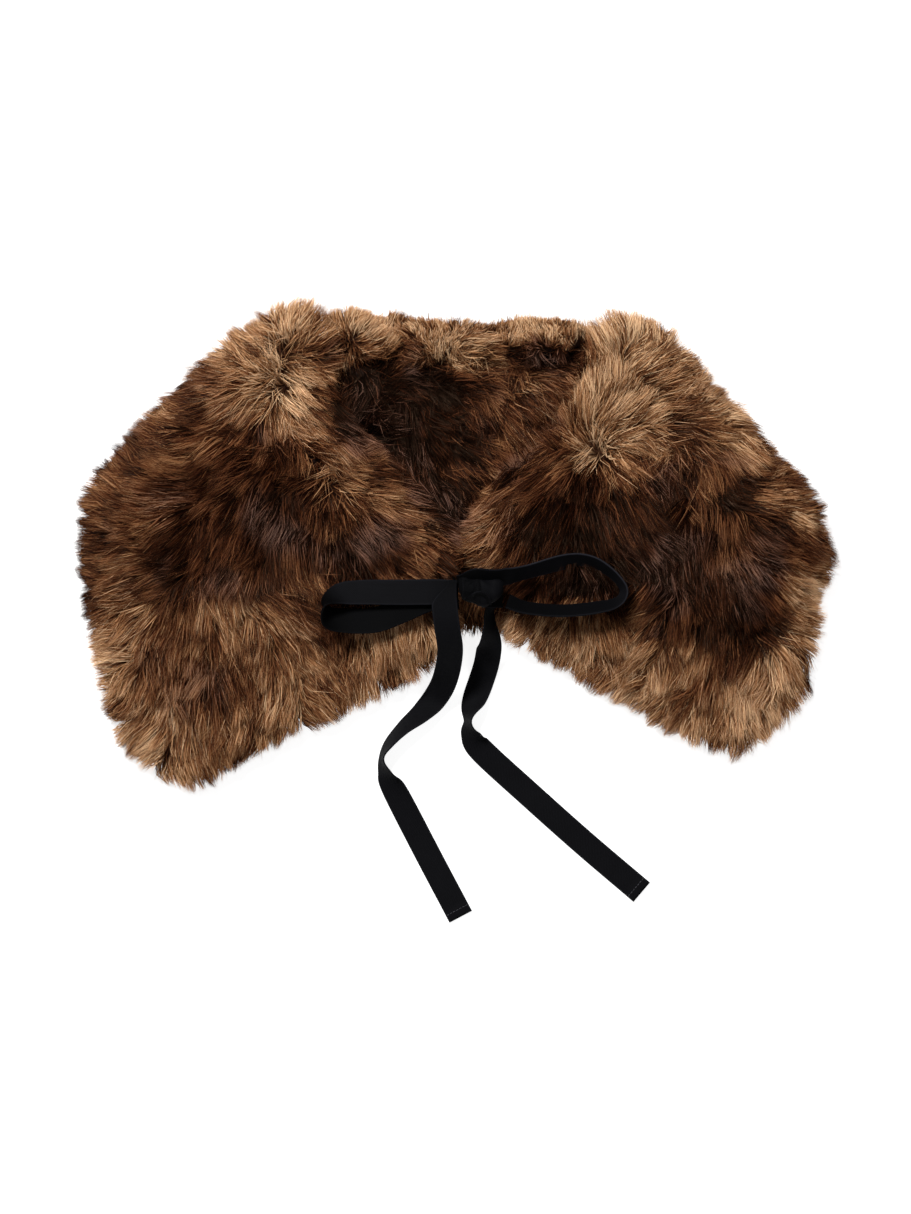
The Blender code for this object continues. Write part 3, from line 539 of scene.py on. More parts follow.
def tape_finish():
    """Black cotton twill: fine slanting ribs, a plain selvedge, a little lint."""
    f = Finish("black_twill")
    weave = f.add("ShaderNodeUVMap", {"uv_map": "weave"})
    along = f.add("ShaderNodeSeparateXYZ", {}, weave)
    across = Flow(f, along.socket.node.outputs[1])
    turn = math.tau / (TWILL_PITCH * MM)
    ribs = ((along + across * 0.8) * turn).sine() * 0.5 + 0.5
    picks = ((along - across * 0.35) * turn * 2.6).sine() * 0.5 + 0.5
    side = (across / (0.5 * TAPE_WIDTH * MM)).sum("ABSOLUTE")
    selvedge = side.within(0.86, 0.93)
    place = f.place()
    lint = f.noise(place, 1500.0, 2.0).within(0.62, 0.8)
    cloth = f.noise(place, 120.0, 2.0)
    colour = f.blend(tint(5, 5, 6), tint(15, 15, 18), ribs * (1 - selvedge) * 0.6 + cloth * 0.2)
    colour = f.blend(colour, tint(38, 38, 44), lint * 0.2 + selvedge * 0.2)
    # Painted light and shade: where lit is 1 the cloth has its plain colour, and at 2 it is twice as bright,
    # a painted highlight; below 1 it is darker, painted shade
    painted_light_and_shade = 1 - f.attribute("lit") * 0.5
    colour = f.blend(f.blend(colour, colour, 1.0, "ADD"), (0.0, 0.0, 0.0, 1.0), painted_light_and_shade)
    height = ribs * (1 - selvedge) + picks * 0.35
    return f.wear(Base_Color=colour, Roughness=0.66 + ribs * 0.16, Specular_IOR_Level=0.04,
                  Normal=f.bump(height, 0.5, 0.00018))


def thread_finish():
    f = Finish("black_thread")
    ply = f.noise(f.place(), 2600.0, 1.0)
    colour = f.blend(tint(22, 22, 25), tint(52, 52, 58), ply)
    return f.wear(Base_Color=colour, Roughness=0.5 + ply * 0.2, Normal=f.bump(ply, 0.5, 0.0002))


def paper_finish():
    f = Finish("pale_paper")
    grain = f.noise(f.place(), 40.0, 4.0)
    colour = f.blend(tint(170, 170, 170), tint(176, 176, 176), grain)
    return f.wear(Base_Color=colour, Roughness=0.9 + grain * 0.05, Specular_IOR_Level=0.1,
                  Emission_Color=(1, 1, 1, 1), Emission_Strength=0.86)


# ---------------------------------------------------------------- dye and painted shade

def dye_and_painted_shade_at(plan):
    """The dye's shade, with the painted shade of some patches, at points of the plan, metres: the patches,
    run into one another and mottled.
    """
    at = plan / MM
    at = at + RUN * np.column_stack([waves(at, RUN_SIZE, seed) for seed in (5, 6)])
    weight = np.full(len(at), PLAIN_WEIGHT)
    total = PLAIN_WEIGHT * np.full(len(at), PLAIN_SHADE)
    for x, y, wide, high, shade in PATCHES:
        share = np.exp(-(((at[:, 0] - x) / wide) ** 2 + ((at[:, 1] - y) / high) ** 2) * PATCH_EDGE)
        weight += share
        total += share * shade
    shade = total / weight
    for much, size, seed in MOTTLES:
        shade = shade + much * waves(at, size, seed)
    return np.clip(shade, -0.05, 1.05)


# ---------------------------------------------------------------- room that each solid gives

def probe(node):
    """A function that gives the heights of a solid's underside and top at a place, or None beside it."""
    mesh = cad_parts[node].data
    tree = BVHTree.FromPolygons([v.co for v in mesh.vertices], [p.vertices for p in mesh.polygons])
    up, down = Vector((0, 0, 1)), Vector((0, 0, -1))

    def heights(x, y):
        under = tree.ray_cast(Vector((x, y, -1.0)), up)[0]
        top = tree.ray_cast(Vector((x, y, 1.0)), down)[0]
        return None if under is None or top is None else (under.z, top.z)

    return heights


class Room:
    """A stretch of the plan in cells: which of them are inside, and how far in from the outline each is."""

    def __init__(self, low, high):
        self.step = GRID * MM
        self.start = np.array(low[:2]) - AROUND * MM
        self.count = np.ceil((np.array(high[:2]) + AROUND * MM - self.start) / self.step).astype(int) + 1

    def cells(self):
        return np.argwhere(np.ones(self.count, bool))

    def plan(self):
        """The cells' places."""
        return self.start + self.cells() * self.step

    def measure(self, inside):
        """Each cell's depth inside the outline, negative outside; the outline's cell nearest to each."""
        ring = inside & ~(np.roll(inside, 1, 0) & np.roll(inside, -1, 0)
                          & np.roll(inside, 1, 1) & np.roll(inside, -1, 1))
        edge = np.argwhere(ring)
        cells = self.cells()
        nearest, away = np.empty(len(cells), int), np.empty(len(cells))
        for first in range(0, len(cells), CELLS_AT_ONCE):
            part = slice(first, first + CELLS_AT_ONCE)
            gap = np.linalg.norm(cells[part][:, None] - edge[None], axis=2)
            nearest[part] = gap.argmin(1)
            away[part] = gap.min(1)
        away = away.reshape(self.count) * self.step
        self.depth = np.where(inside, away, -away) + 0.5 * self.step
        return edge[nearest].reshape(*self.count, 2)

    def trim(self, rows):
        """The outline as the pile takes it, further out or in around each row's place."""
        at = self.plan() / MM
        for x, y, around, more in rows:
            near = np.exp(-(((at - (x, y)) / around) ** 2).sum(1)).reshape(self.count)
            self.depth = self.depth + more * MM * near

    def read(self, grid, plan):
        """The grid's values at points of the plan, blended between the four cells round each."""
        at = np.clip((plan - self.start) / self.step, 0, self.count - 1.001)
        low = at.astype(int)
        fx, fy = (at - low).T
        i, j = low.T
        near = grid[i, j] * (1 - fx) + grid[i + 1, j] * fx
        far = grid[i, j + 1] * (1 - fx) + grid[i + 1, j + 1] * fx
        return near * (1 - fy) + far * fy


class Solid(Room):
    """The space that a fur solid takes: its top and underside too."""

    def __init__(self, node):
        low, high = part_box(node)
        super().__init__(low, high)
        heights = probe(node)
        top, under = np.full(self.count, np.nan), np.full(self.count, np.nan)
        for i, j in self.cells():
            x, y = self.start[0] + i * self.step, self.start[1] + j * self.step
            found = heights(x, y) if low[0] <= x <= high[0] else None
            if found:
                under[i, j], top[i, j] = found
        inside = ~np.isnan(top)
        beside = self.measure(inside)
        self.top = np.where(inside, top, top[beside[..., 0], beside[..., 1]])
        self.under = np.where(inside, under, under[beside[..., 0], beside[..., 1]])


class Whole(Room):
    """All the fur solids as one, with the notches between them closed as their pile closes them."""

    def __init__(self, solids):
        super().__init__(*solids_box)
        plan = self.plan()
        inside = (np.max([solid.read(solid.depth, plan) for solid in solids], axis=0) > 0).reshape(self.count)
        self.measure(inside)
        self.measure(self.depth > -NOTCH * MM)
        self.measure(self.depth > (NOTCH - GRID) * MM)


class TapeCover:
    """Where the tape passes over the fur: the heights of its lowest and highest face in each cell."""

    def __init__(self, nodes):
        self.step = COVER_GRID * MM
        self.start = np.array(COVER_START) * MM
        self.count = np.array(COVER_COUNT)
        self.low = np.full(self.count, 1.0)
        self.high = np.full(self.count, -1.0)
        for node in nodes:
            heights = probe(node)
            for cell in np.ndindex(*self.count):
                found = heights(*(self.start + np.array(cell) * self.step))
                if found:
                    self.low[cell] = min(self.low[cell], found[0])
                    self.high[cell] = max(self.high[cell], found[1])
        spread = [np.roll(self.low, s, a) for s in (-1, 1) for a in (0, 1)]
        self.low = np.minimum.reduce([self.low, *spread])

    def read(self, grid, plan, beyond):
        """The grid's value in the cell of each point, or beyond where the grid doesn't reach."""
        at = np.round((plan - self.start) / self.step).astype(int)
        inside = ((at >= 0) & (at < self.count)).all(-1)
        at = np.clip(at, 0, self.count - 1)
        return np.where(inside, grid[at[..., 0], at[..., 1]], beyond)


# ---------------------------------------------------------------- meshes

def put(name, data):
    thing = bpy.data.objects.new(name, data)
    bpy.context.scene.collection.objects.link(thing)
    return thing


def mesh_object(name, points, faces, finish):
    mesh = bpy.data.meshes.new(name)
    mesh.from_pydata([tuple(p) for p in points], [], faces)
    mesh.materials.append(finish)
    mesh.shade_smooth()
    mesh.update()
    return put(name, mesh)


def closed_loft(name, rings, finish):
    """One closed body over rings of equally many points, with a fan at each end."""
    count = len(rings[0])
    points = [*np.vstack(rings), np.mean(rings[0], axis=0), np.mean(rings[-1], axis=0)]
    last = (len(rings) - 1) * count
    faces = []
    for a in range(0, last, count):
        b = a + count
        faces += [(a + i, a + (i + 1) % count, b + (i + 1) % count, b + i) for i in range(count)]
    faces += [((i + 1) % count, i, len(points) - 2) for i in range(count)]
    faces += [(last + i, last + (i + 1) % count, len(points) - 1) for i in range(count)]
    piece = mesh_object(name, points, faces, finish)
    body = bmesh.new()
    body.from_mesh(piece.data)
    bmesh.ops.recalc_face_normals(body, faces=body.faces[:])
    body.to_mesh(piece.data)
    body.free()
    return piece


def write_number(mesh, name, values):
    made = mesh.attributes.new(name, "FLOAT", "POINT")
    made.data.foreach_set("value", np.asarray(values, np.float32))


def write_map(mesh, name, places):
    """A map of the mesh, from a place for each corner of its faces."""
    mesh.uv_layers.new(name=name).uv.foreach_set("vector", places.astype(np.float32).ravel())


def read_all(items, key, kind, wide):
    """That property of all the items, wide numbers to each."""
    values = np.empty(len(items) * wide, kind)
    items.foreach_get(key, values)
    return values.reshape(-1, wide)


def black(piece):
    """The piece as one of the tape's, on the wrap's body."""
    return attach(piece, "root")


# ---------------------------------------------------------------- fur cloth under the pile

def skin(panel, whole, finish):
    """The doubled fur cloth inside a solid, its faces under the pile.

    Its rim is inset from the wrap's outline, and seam in from its own beside other panels.
    """
    room = panel.room
    turns = np.linspace(0, math.tau, RIM_POINTS, endpoint=False)
    rays = np.column_stack([np.cos(turns), np.sin(turns)])
    middle = np.array(panel.middle) * MM
    steps = np.arange(2, 260) * MM
    reach = np.empty(len(turns))
    for k, ray in enumerate(rays):
        plan = middle + steps[:, None] * ray
        within = (room.read(room.depth, plan) > panel.seam * MM) & (
            whole.read(whole.depth, plan) > panel.inset * MM)
        reach[k] = steps[np.flatnonzero(within).max()]
    reach = sum(np.roll(reach, s) for s in range(-2, 3)) / 5

    def layer(share, face, bulge=0.0):
        plan = middle + rays * (share * reach + bulge)[:, None]
        top = room.read(room.top, plan) - panel.over * MM
        bottom = room.read(room.under, plan) + panel.below * MM
        bottom = np.minimum(bottom, top - 2 * MM)
        z = 0.5 * (top + bottom) + 0.5 * face * (top - bottom)
        return np.column_stack([plan, z])

    rings = [layer(share, 1.0) for share in CLOTH_TOP]
    for turn in np.radians(CLOTH_RIM):
        rings.append(layer(1.0, math.cos(turn), RIM_BULGE * MM * math.sin(turn)))
    rings += [layer(share, -1.0) for share in CLOTH_UNDER]
    piece = closed_loft(panel.word + "_cloth", rings, finish)
    where = np.array([v.co for v in piece.data.vertices])
    write_number(piece.data, "dye", dye_and_painted_shade_at(where[:, :2]))
    return piece


# ---------------------------------------------------------------- pile

def heading(rows, plan):
    """Which way the pile lies at points of the plan, in radians, and how unsettled it is there, 0 to 1."""
    rows = np.array(rows, float)
    at = plan / MM
    apart = np.linalg.norm(at[:, None] - rows[None, :, :2], axis=2)
    share = 1.0 / (apart**2 + SWEEP_HEART**2) ** 1.6
    share /= share.sum(1, keepdims=True)
    turn = np.radians(rows[:, 2])
    x, y = share @ np.cos(turn), share @ np.sin(turn)
    return np.arctan2(y, x), 1 - np.hypot(x, y)


def scatter(piece, count, draw, weigh):
    """Points spread over a mesh by area times weigh(middles, normals), with their normals."""
    mesh = piece.data
    mesh.calc_loop_triangles()
    corners = read_all(mesh.loop_triangles, "vertices", np.int32, 3)
    co = read_all(mesh.vertices, "co", np.float32, 3).astype(float)
    flat = read_all(mesh.vertices, "normal", np.float32, 3)
    a, b, c = (co[corners[:, k]] for k in range(3))
    cross = np.cross(b - a, c - a)
    area = 0.5 * np.linalg.norm(cross, axis=1)
    share = area * weigh((a + b + c) / 3, unit(cross))
    pick = draw.choice(len(area), count, p=share / share.sum())
    u, v = draw.uniform(size=(2, count, 1))
    over = u + v > 1
    u, v = np.where(over, 1 - u, u), np.where(over, 1 - v, v)
    where = a[pick] + u * (b - a)[pick] + v * (c - a)[pick]
    n0, n1, n2 = (flat[corners[pick, k]] for k in range(3))
    return where, unit(n0 + u * (n1 - n0) + v * (n2 - n0))


def grow(roots, normals, towards, length, stand, lie, curl, sag):
    """Centre lines of strands: upright by the angle stand at the root, lying over to lie at the tip."""
    line = [roots]
    for k in range(STRAND_STEPS):
        t = (k + 0.5) / STRAND_STEPS
        lift = (stand + (lie - stand) * t**0.8)[:, None]
        turn = towards + curl * t
        over = np.column_stack([np.cos(turn), np.sin(turn), np.full(len(turn), -sag * t)])
        way = unit(normals * np.sin(lift) + over * np.cos(lift))
        line.append(line[-1] + way * (length / STRAND_STEPS)[:, None])
    return np.stack(line, axis=1)


def nearest(points, others):
    tree = KDTree(len(others))
    for k, p in enumerate(others):
        tree.insert(p, k)
    tree.balance()
    return np.array([tree.find(p)[1] for p in points])


def gather(strands, pull):
    """Lines drawn to their leader, more towards the tip."""
    lines = strands["lines"]
    t = np.linspace(0, 1, lines.shape[1])[None, :, None]
    return lines + (strands["leader"] - lines) * pull[:, None, None] * t**1.25


class Coat:
    """How one panel's pile is combed: its sweeps, length, and angles at root and tip in degrees."""

    def __init__(self, sweeps, length, stand, lie, ruffle=1.0):
        self.sweeps, self.length, self.ruffle = sweeps, length, ruffle
        self.stand, self.lie = math.radians(stand), math.radians(lie)


def comb(coat, roots, normals, draw, parent=None, ragged=LOCKS_RAGGED):
    """Lines from the roots; with a parent they take over how its locks differ.

    ragged: how uneven their ends are.
    """
    count = len(roots)
    own = {
        "turn": draw.normal(0, math.radians(TURN_SPREAD) * coat.ruffle, count),
        "long": draw.normal(0, LONG_SPREAD, count),
        "lift": draw.normal(0, math.radians(LIFT_SPREAD) * coat.ruffle, count),
        "curl": draw.normal(0, math.radians(CURL_SPREAD) * coat.ruffle, count),
        "edge": draw.normal(0, ragged * MM, count),
        "tone": draw.normal(0, TONE_SPREAD, count),
    }
    if parent:
        lead = nearest(roots, parent["roots"])
        for key in own:
            own[key] += parent["own"][key][lead]
    towards, unsettled = heading(coat.sweeps, roots[:, :2])
    towards += own["turn"] * (1 + PARTED * unsettled)
    turn, long, lift = (waves(roots / MM, size, seed) for size, seed in SWELLS)
    towards += math.radians(TURN_SWELL) * coat.ruffle * turn
    length = coat.length * MM * (1 + own["long"] + LONG_SWELL * long)
    stand = coat.stand + own["lift"] + math.radians(LIFT_SWELL) * lift
    lie = coat.lie + 0.5 * own["lift"]
    made = {"roots": roots, "own": own}
    made["lines"] = grow(roots, normals, towards, length, stand, lie, own["curl"], SAG)
    if parent:
        shift = roots - parent["roots"][lead]
        t = np.linspace(0, 1, STRAND_STEPS + 1)[None, :, None]
        made["leader"] = parent["lines"][lead] + shift[:, None] * (1 - 0.75 * t)
    return made


def rescale(lines, scale):
    return lines[:, :1] + (lines - lines[:, :1]) * scale[:, None, None]


def fit(lines, panel, whole, edge):
    """Strands cut or lengthened to end at the wrap's outline, and cut where they lap far over another panel.

    They are kept in the solid's height.
    """
    room = panel.room

    def to_end(space, past, longest):
        """How much longer or shorter the strands become to end that far past the outline."""
        roots, tips = (space.read(space.depth, lines[:, k, :2]) for k in (0, -1))
        goal = -past * MM + edge.clip(-ENDS_OUT * MM, ENDS_IN * MM)
        share = (roots - goal) / np.maximum(roots - tips, 1e-4)
        outer = tips < goal
        near = ~outer & (tips < NEAR_END * MM) & (roots - tips > 4 * MM)
        return np.where(outer, share.clip(SHORTEST, 1.0), np.where(near, share.clip(1.0, longest), 1.0))

    scale = np.minimum(to_end(whole, panel.reach, LONGEST), to_end(room, panel.lap, 1.0))
    lines = rescale(lines, scale)
    plan = lines[..., :2].reshape(-1, 2)
    depth, top = (room.read(grid, plan).reshape(lines.shape[:2]) for grid in (room.depth, room.top))
    top = top + FREE_LOFT * MM + RIM_FALL * np.minimum(depth, 0)
    z = lines[..., 2]
    over = np.maximum(z - top, 0)
    lines[..., 2] = z - over + LOFT * MM * (1 - np.exp(-over / (LOFT * MM)))
    return lines


def press(lines, cover, buried, draw):
    """Strands pushed under the tape, but for the few locks that lie over its edge or over its sewn end."""
    plan = lines[..., :2]
    low, high = cover.read(cover.low, plan, 1.0), cover.read(cover.high, plan, -1.0)
    rooted = low[:, 0] < 0.9
    chance = draw.uniform(size=len(lines))
    proud = np.zeros(len(lines), bool)
    for x, y, around, share in OVER_TAPE:
        near = np.linalg.norm(plan[:, 0] / MM - (x, y), axis=1) < around
        proud |= near & (chance < share) & ~rooted
    z = lines[..., 2]
    under = np.minimum(z, low - 0.6 * MM)
    above = np.where((high > 0) & (high < LYING * MM), np.maximum(z, high + 0.5 * MM), under)
    z = np.where(proud[:, None], above, under)
    sewn = buried.read(buried.high, plan, -1.0)
    z[:, 1:] = np.where(sewn > 0, np.maximum(z, sewn + (0.4 + 2.0 * chance[:, None]) * MM), z)[:, 1:]
    lines[..., 2] = np.maximum(z, 0.35 * MM + 0.8 * MM * draw.uniform(size=z.shape))
    return lines


def strands(name, lines, normals, dye, tone, broad, draw, finish):
    """One mesh of tapering ribbons along the lines, each with its own cell of the map."""
    count, rings, _ = lines.shape
    steps = rings - 1
    ahead = np.gradient(lines, axis=1)
    # Ribbons face up and out from the cloth, each turned a little its own way
    facing = unit(0.6 * normals + np.array([0, 0, 0.7]) + 0.55 * draw.normal(size=(count, 3)))
    across = unit(np.cross(ahead, facing[:, None]))
    wide = 0.5 * STRAND_WIDE * MM * broad * draw.uniform(0.65, 1.35, count)
    taper = np.interp(np.linspace(0, 1, rings), *STRAND_TAPER)
    half = across * (wide[:, None] * taper[None])[..., None]
    pairs = np.stack([lines[:, :-1] - half[:, :-1], lines[:, :-1] + half[:, :-1]], axis=2)
    points = np.concatenate([pairs.reshape(count, 2 * steps, 3), lines[:, -1:]], axis=1)
    each = 2 * steps + 1
    quads = np.array([[2 * k, 2 * k + 1, 2 * k + 3, 2 * k + 2] for k in range(steps - 1)]).ravel()
    corners = np.concatenate([quads, [2 * steps - 2, 2 * steps - 1, 2 * steps]])
    numbers = np.arange(count)[:, None]
    mesh = bpy.data.meshes.new(name)
    mesh.vertices.add(count * each)
    mesh.loops.add(count * len(corners))
    mesh.polygons.add(count * steps)
    mesh.vertices.foreach_set("co", points.astype(np.float32).ravel())
    mesh.loops.foreach_set("vertex_index", (corners + each * numbers).ravel().astype(np.int32))
    starts = 4 * np.arange(steps) + len(corners) * numbers
    mesh.polygons.foreach_set("loop_start", starts.ravel().astype(np.int32))
    mesh.polygons.foreach_set("use_smooth", np.ones(count * steps, bool))
    t = np.append(np.repeat(np.linspace(0, 1, rings)[:-1], 2), 1.0)
    columns = math.ceil(math.sqrt(2 * count))
    u = numbers % columns + np.append(np.tile((0.15, 0.85), steps), 0.5)
    v = numbers // columns + 0.08 + 0.84 * t
    layout = np.stack([u / columns, v / math.ceil(count / columns)], axis=2)
    write_map(mesh, "OFBake", layout[:, corners])
    write_number(mesh, "along", np.tile(t, count))
    write_number(mesh, "tone", np.repeat((tone + draw.normal(0, 1.2, count)).clip(-2.9, 2.9), each))
    write_number(mesh, "dye", np.repeat(dye, each))
    mesh.update(calc_edges=True)
    mesh.materials.append(finish)
    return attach(put(name, mesh), "root")


def pile(panel, base, whole, count, cover, buried, finish, seed):
    """The pile of one panel, in as many pieces as it has parts, split from left to right."""
    draw = np.random.default_rng(seed)
    coat, weigh = panel.coat, panel.weigh
    area = 0.5 * sum(p.area for p in base.data.polygons) / MM**2
    tufts = comb(coat, *scatter(base, max(8, int(area / TUFT_APART**2)), draw, weigh), draw)
    roots, normals = scatter(base, int(area / LOCK_APART**2), draw, weigh)
    locks = comb(coat, roots, normals, draw, tufts)
    locks["lines"] = gather(locks, np.full(len(roots), TUFT_PULL))
    locks["lines"] = fit(locks["lines"], panel, whole, locks["own"]["edge"])
    roots, normals = scatter(base, count, draw, weigh)
    hairs = comb(coat, roots, normals, draw, locks, HAIRS_RAGGED)
    pull = draw.uniform(*HAIR_PULL, count)
    loose = draw.uniform(size=count) < LOOSE_SHARE
    lines = gather(hairs, np.where(loose, 0.0, pull))
    short = (draw.uniform(size=count) < SHORT_SHARE) & ~loose
    lines = rescale(lines, np.where(short, draw.uniform(*SHORT_LONG, count), np.where(loose, 1.08, 1.0)))
    lines = fit(lines, panel, whole, hairs["own"]["edge"])
    lines = press(lines, cover, buried, draw)
    dye = dye_and_painted_shade_at(0.8 * lines[:, 1, :2] + 0.2 * lines[:, -1, :2])
    tone = hairs["own"]["tone"]
    broad = np.where(short, 1.7, np.where(loose, 0.7, 1.0))
    ends = [f"_{letter}" for letter in "ab"[:panel.parts]] if panel.parts > 1 else [""]
    order = np.array_split(np.argsort(roots[:, 0], kind="stable"), panel.parts)
    return [strands(panel.word + "_pile" + end, lines[part], normals[part], dye[part], tone[part],
                    broad[part], draw, finish) for end, part in zip(ends, order)]


# ---------------------------------------------------------------- tape

def tape_frame(rows):
    """The tape's middle line with its side and facing directions, at even steps, in metres."""
    route = spline(rows)
    route = even(route, max(8, round(lengths(route[:, :3])[-1] / TAPE_STEP)))
    turn = np.radians(route[:, 3])
    z = route[:, 2] + 0.5 * TAPE_WIDTH * np.abs(np.sin(turn)) + 0.5 * TAPE_THICK
    middle = np.column_stack([route[:, :2], z]) * MM
    ahead = unit(np.gradient(middle, axis=0))
    side = unit(np.cross((0, 0, 1), ahead))
    up = np.cross(ahead, side)
    across = np.cos(turn)[:, None] * side + np.sin(turn)[:, None] * up
    return middle, ahead, across, np.cross(ahead, across)


def tape(name, rows, finish, thread, hemmed=False, drawn=(1.0, 1.0, 0), lit=((0, 1.0),)):
    """A strip of the tape: two faces, rounded selvedges, a slight uneven cup, a hem where its end is free.

    drawn: the share of its width at the start, the length over which it opens, the side it is drawn to.
    lit: how much light finds it, at lengths along it, painted into its colour as light and shade.
    """
    middle, ahead, across, out = tape_frame(rows)
    along = lengths(middle)
    half = 0.5 * TAPE_WIDTH * MM
    places = np.array(TAPE_PLACES)
    thick = 0.5 * TAPE_THICK * MM * np.array(TAPE_FULL)
    extra = np.zeros(len(middle))
    if hemmed:
        extra = HEM_THICK * MM * ease((along - along[-1] + (HEM_LENGTH + 0.4) * MM) / (0.8 * MM))
    cup = 0.25 * MM * waves(along[:, None] / MM, 30.0, len(rows))
    narrow, opens, to = drawn
    wide = narrow + (1 - narrow) * ease(along / (opens * MM))
    middle = middle + across * (to * (1 - wide) * half)[:, None]
    rings = []
    for k in range(len(middle)):
        bow = cup[k] * (1 - places**2)
        flat = middle[k] + np.outer(places * half * wide[k], across[k])
        top = flat + np.outer(thick + bow + extra[k], out[k])
        low = flat + np.outer(-thick + bow, out[k])
        rings.append(np.vstack([top, low[::-1]]))
    piece = closed_loft(name, rings, finish)
    ring = np.concatenate([places, places[::-1]]) * half
    weave = np.column_stack([np.repeat(along, len(ring)), np.tile(ring, len(along))])
    weave = np.vstack([weave, (along[0], 0), (along[-1], 0)])
    corner = read_all(piece.data.loops, "vertex_index", np.int32, 1)[:, 0]
    write_map(piece.data, "weave", weave[corner])
    write_number(piece.data, "lit", np.interp(weave[:, 0] / MM, *np.transpose(lit)))
    black(piece)
    stitches = [hem_stitches(name + "_stitches", middle, ahead, across, out, along, thread)] if hemmed else []
    return piece, float(along[-1]), stitches


def hem_stitches(name, middle, ahead, across, out, along, finish):
    """A row of short raised stitches across the tape, holding its turned end."""
    at = along[-1] - HEM_LENGTH * MM + 1.2 * MM
    spot = np.array([np.interp(at, along, column) for column in middle.T])
    k = int(np.searchsorted(along, at)) - 1
    points, faces = [], []
    lift = (0.5 * TAPE_THICK * TAPE_FULL[4] + HEM_THICK) * MM
    for place in np.arange(-6.6, 6.7, STITCH_APART):
        base = len(points)
        for t in np.linspace(-STITCH_HALF, STITCH_HALF, STITCH_RINGS):
            hump = STITCH_RISE * MM * math.cos(t / STITCH_HALF * math.pi / 2)
            heart = spot + across[k] * (place + t) * MM + out[k] * (lift + hump)
            for turn in np.linspace(0, math.tau, STITCH_SIDES, endpoint=False):
                way = ahead[k] * math.cos(turn) + out[k] * math.sin(turn)
                points.append(heart + THREAD_HALF * MM * way)
        last = len(points) - STITCH_SIDES
        sides = range(STITCH_SIDES)
        for a in range(base, last, STITCH_SIDES):
            b = a + STITCH_SIDES
            faces += [(a + i, a + (i + 1) % STITCH_SIDES, b + (i + 1) % STITCH_SIDES, b + i) for i in sides]
        faces += [tuple(base + i for i in reversed(sides)), tuple(last + i for i in sides)]
    return black(mesh_object(name, points, faces, finish))


def knot_core(name, rows, finish):
    """The wraps drawn tight: creases run together where the tape presses on them."""
    turn = np.linspace(0, math.tau, CORE_SIDES, endpoint=False)
    rings = []
    for x, y, half_length, half_height in spline(rows, 5):
        across = np.sign(np.cos(turn)) * np.abs(np.cos(turn)) ** 0.8 * half_length
        up = np.sign(np.sin(turn)) * np.abs(np.sin(turn)) ** 0.8 * half_height
        fan = np.arctan2(x - PRESSED[0], PRESSED[1] - (y + across))
        crease = CREASE_DEEP * np.cos(CREASES * fan + 0.8) * ease(up / 3.0)
        rings.append(np.column_stack([np.full(len(turn), x), y + across, CORE_HEIGHT + up + crease]) * MM)
    piece = closed_loft(name, rings, finish)
    corner = read_all(piece.data.loops, "vertex_index", np.int32, 1)[:, 0]
    place = np.array([v.co for v in piece.data.vertices])
    write_map(piece.data, "weave", place[corner][:, (1, 0)] * (1, 0.5))
    # Painted shade: the knot's colour darkened as if in its own shadow
    write_number(piece.data, "lit", np.full(len(place), 0.4))
    return black(piece)


# ---------------------------------------------------------------- studio

def studio():
    corners = [(-3, -3, 0), (3, -3, 0), (3, 3, 0), (-3, 3, 0)]
    mesh_object("floor", corners, [(0, 1, 2, 3)], paper_finish())
    for name, place, size, power in (
        ("key", (-0.7, 1.1, 1.9), 0.5, 74),
        ("fill", (1.2, -0.6, 1.8), 1.6, 8),
    ):
        light = bpy.data.lights.new(name, "AREA")
        light.size, light.energy = size, power
        lamp = put(name, light)
        lamp.location = place
        lamp.rotation_euler = (-Vector(place)).to_track_quat("-Z", "Y").to_euler()
    world = bpy.data.worlds.new("studio")
    world.use_nodes = True
    sky = world.node_tree.nodes["Background"].inputs
    sky["Color"].default_value = (1, 1, 1, 1)
    sky["Strength"].default_value = 0.26
    bpy.context.scene.world = world
    bpy.context.scene.view_settings.view_transform = "Standard"


def camera():
    """Straight down from above, far enough that heights hardly spread."""
    lens, sensor = 200.0, 36.0
    tall = 761.0  # what the frame takes in from top to bottom
    aside, up = -1.3, 0.9  # the frame's middle
    data = bpy.data.cameras.new("camera")
    data.lens, data.sensor_width = lens, sensor
    eye = put("camera", data)
    eye.location = (aside * MM, up * MM, tall * MM * lens / sensor)
    bpy.context.scene.camera = eye


# ---------------------------------------------------------------- the wrap

def all_round(middles, normals):
    """Where the strands of a panel are rooted: few on its underside."""
    return np.where(normals[:, 2] > -0.35, 1.0, 0.12)


def shown_back(middles, normals):
    """On the outer back, most are rooted where the fronts leave it open, and at the rim below them."""
    x, y = middles[:, 0] / MM, middles[:, 1] / MM
    behind_neck, between_fronts = y > 150, (np.abs(x - 6) < 24) & (y < 16)
    rim = np.abs(normals[:, 2]) < 0.8
    share = np.where(behind_neck | between_fronts, 1.0, np.where(rim, 0.8, 0.03))
    return all_round(middles, normals) * share


class Panel:
    """A panel of fur cloth: its solid, its cloth and the pile that grows on it.

    flat, area: the cloth's flat size, in metres; not used.
    cloth: middle, inset, seam, how far it lies below the solid's top, and above its underside.
    growth: strands, pieces, how far they reach past the wrap's outline and their own, where they are rooted.
    """

    def __init__(self, node, word, slot, under, flat, area, cloth, growth, coat, laps=()):
        self.node, self.word, self.slot = node, word, slot
        self.under, self.flat, self.area = under, flat, area
        self.middle, self.inset, self.seam, self.over, self.below = cloth
        self.count, self.parts, self.reach, self.lap, self.weigh = growth
        self.coat, self.laps = coat, laps
        self.room = Solid(node)


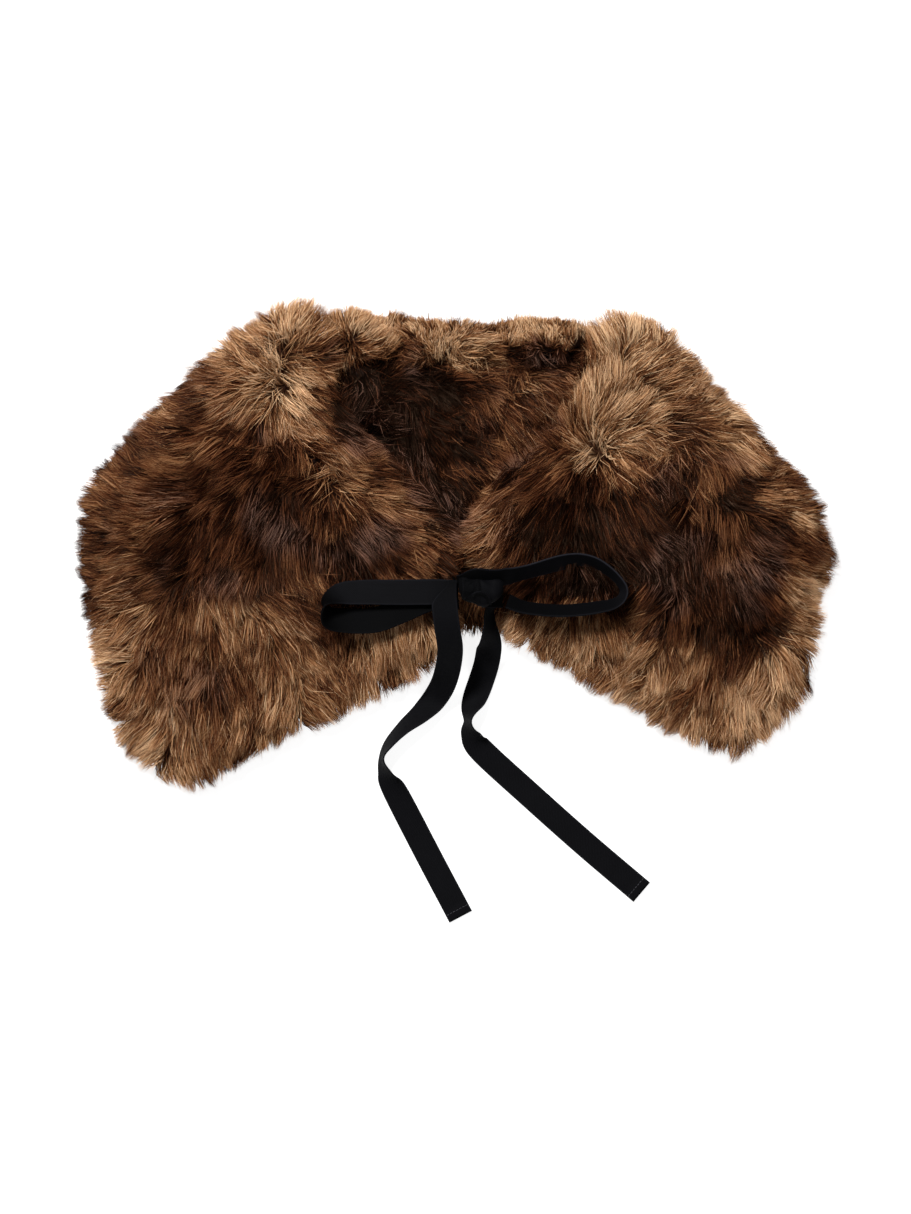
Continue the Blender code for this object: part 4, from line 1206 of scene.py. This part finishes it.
def fur():
    """The cloth of every panel, and then the pile on it."""
    panels = (
        Panel("fur_front_left", "left_front", "fur_brown", "fur_back", (0.24, 0.29), 0.042,
              ((-130, 40), 18, 8, 15, 5), (122000, 2, 0.3, 3.5, all_round),
              Coat(LEFT_SWEEPS, 27, 58, 12), LAPS_LEFT),
        Panel("fur_front_right", "right_front", "fur_brown", "fur_back", (0.21, 0.26), 0.036,
              ((118, 42), 18, 8, 15, 5), (116000, 2, 0.0, 3.5, all_round),
              Coat(RIGHT_SWEEPS, 27, 58, 12), LAPS_RIGHT),
        Panel("fur_back_facing", "inner_back", "fur_dark", "fur_back", (0.15, 0.10), 0.0098,
              ((1, 116), 5, 5, 7, 1), (27000, 1, 0.0, 4.0, all_round),
              Coat(BACK_SWEEPS, 22, 34, 8, ruffle=1.4), LAPS_BACK),
        Panel("fur_neck_roll", "neck_roll", "fur_tan", "fur_back", (0.156, 0.030), 0.0043,
              ((5, 167), 4, 1, 11, -4), (19000, 1, -3.5, 9.0, all_round),
              Coat(BACK_SWEEPS, 19, 50, 14)),
        Panel("fur_back", "outer_back", "fur_brown", "floor", (0.40, 0.19), 0.060,
              ((0, 80), 7, 7, 5, 1), (12000, 1, 0.0, 0.5, shown_back),
              Coat(BACK_SWEEPS, 17, 40, 5, ruffle=0.5)),
    )
    pile_look, ground_look = pile_finish(), ground_finish()
    cover = TapeCover([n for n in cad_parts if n.startswith(("bow_", "tie_tail", "tie_root_right"))])
    buried = TapeCover(["tie_root_left"])
    whole = Whole([panel.room for panel in panels])
    cloths = [skin(panel, whole, ground_look) for panel in panels]
    whole.trim(TRIMS)
    share = 1.0
    for seed, (panel, cloth) in enumerate(zip(panels, cloths), 100):
        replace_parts(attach(cloth, "root"), panel.node)
        panel.room.trim(panel.laps)
        hair = pile(panel, cloth, whole, int(panel.count * share), cover, buried, pile_look, seed)


def tie():
    """The knot with its folds, then each stretch of the tape."""
    looks = tape_finish(), thread_finish()
    knot = [knot_core("bow_knot_core", CORE_SECTIONS, looks[0])]
    # The fold and the arch get painted shade as well, lit 0.5
    for name, rows, narrow in (("bow_knot_fold", FOLD_ROUTE, 0.42), ("bow_knot_arch", ARCH_ROUTE, 0.30)):
        knot.append(tape(name, rows, *looks, drawn=(narrow, 1000.0, 0), lit=((0, 0.5),))[0])
    for piece in knot:
        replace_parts(piece, "bow_knot")
    for node, rows, held, under, look in TAPES:
        piece, long, stitches = tape(node + "_tape", rows, *looks, **look)
        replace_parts(piece, node)


camera()
studio()
fur()
tie()
bpy.context.view_layer.update()
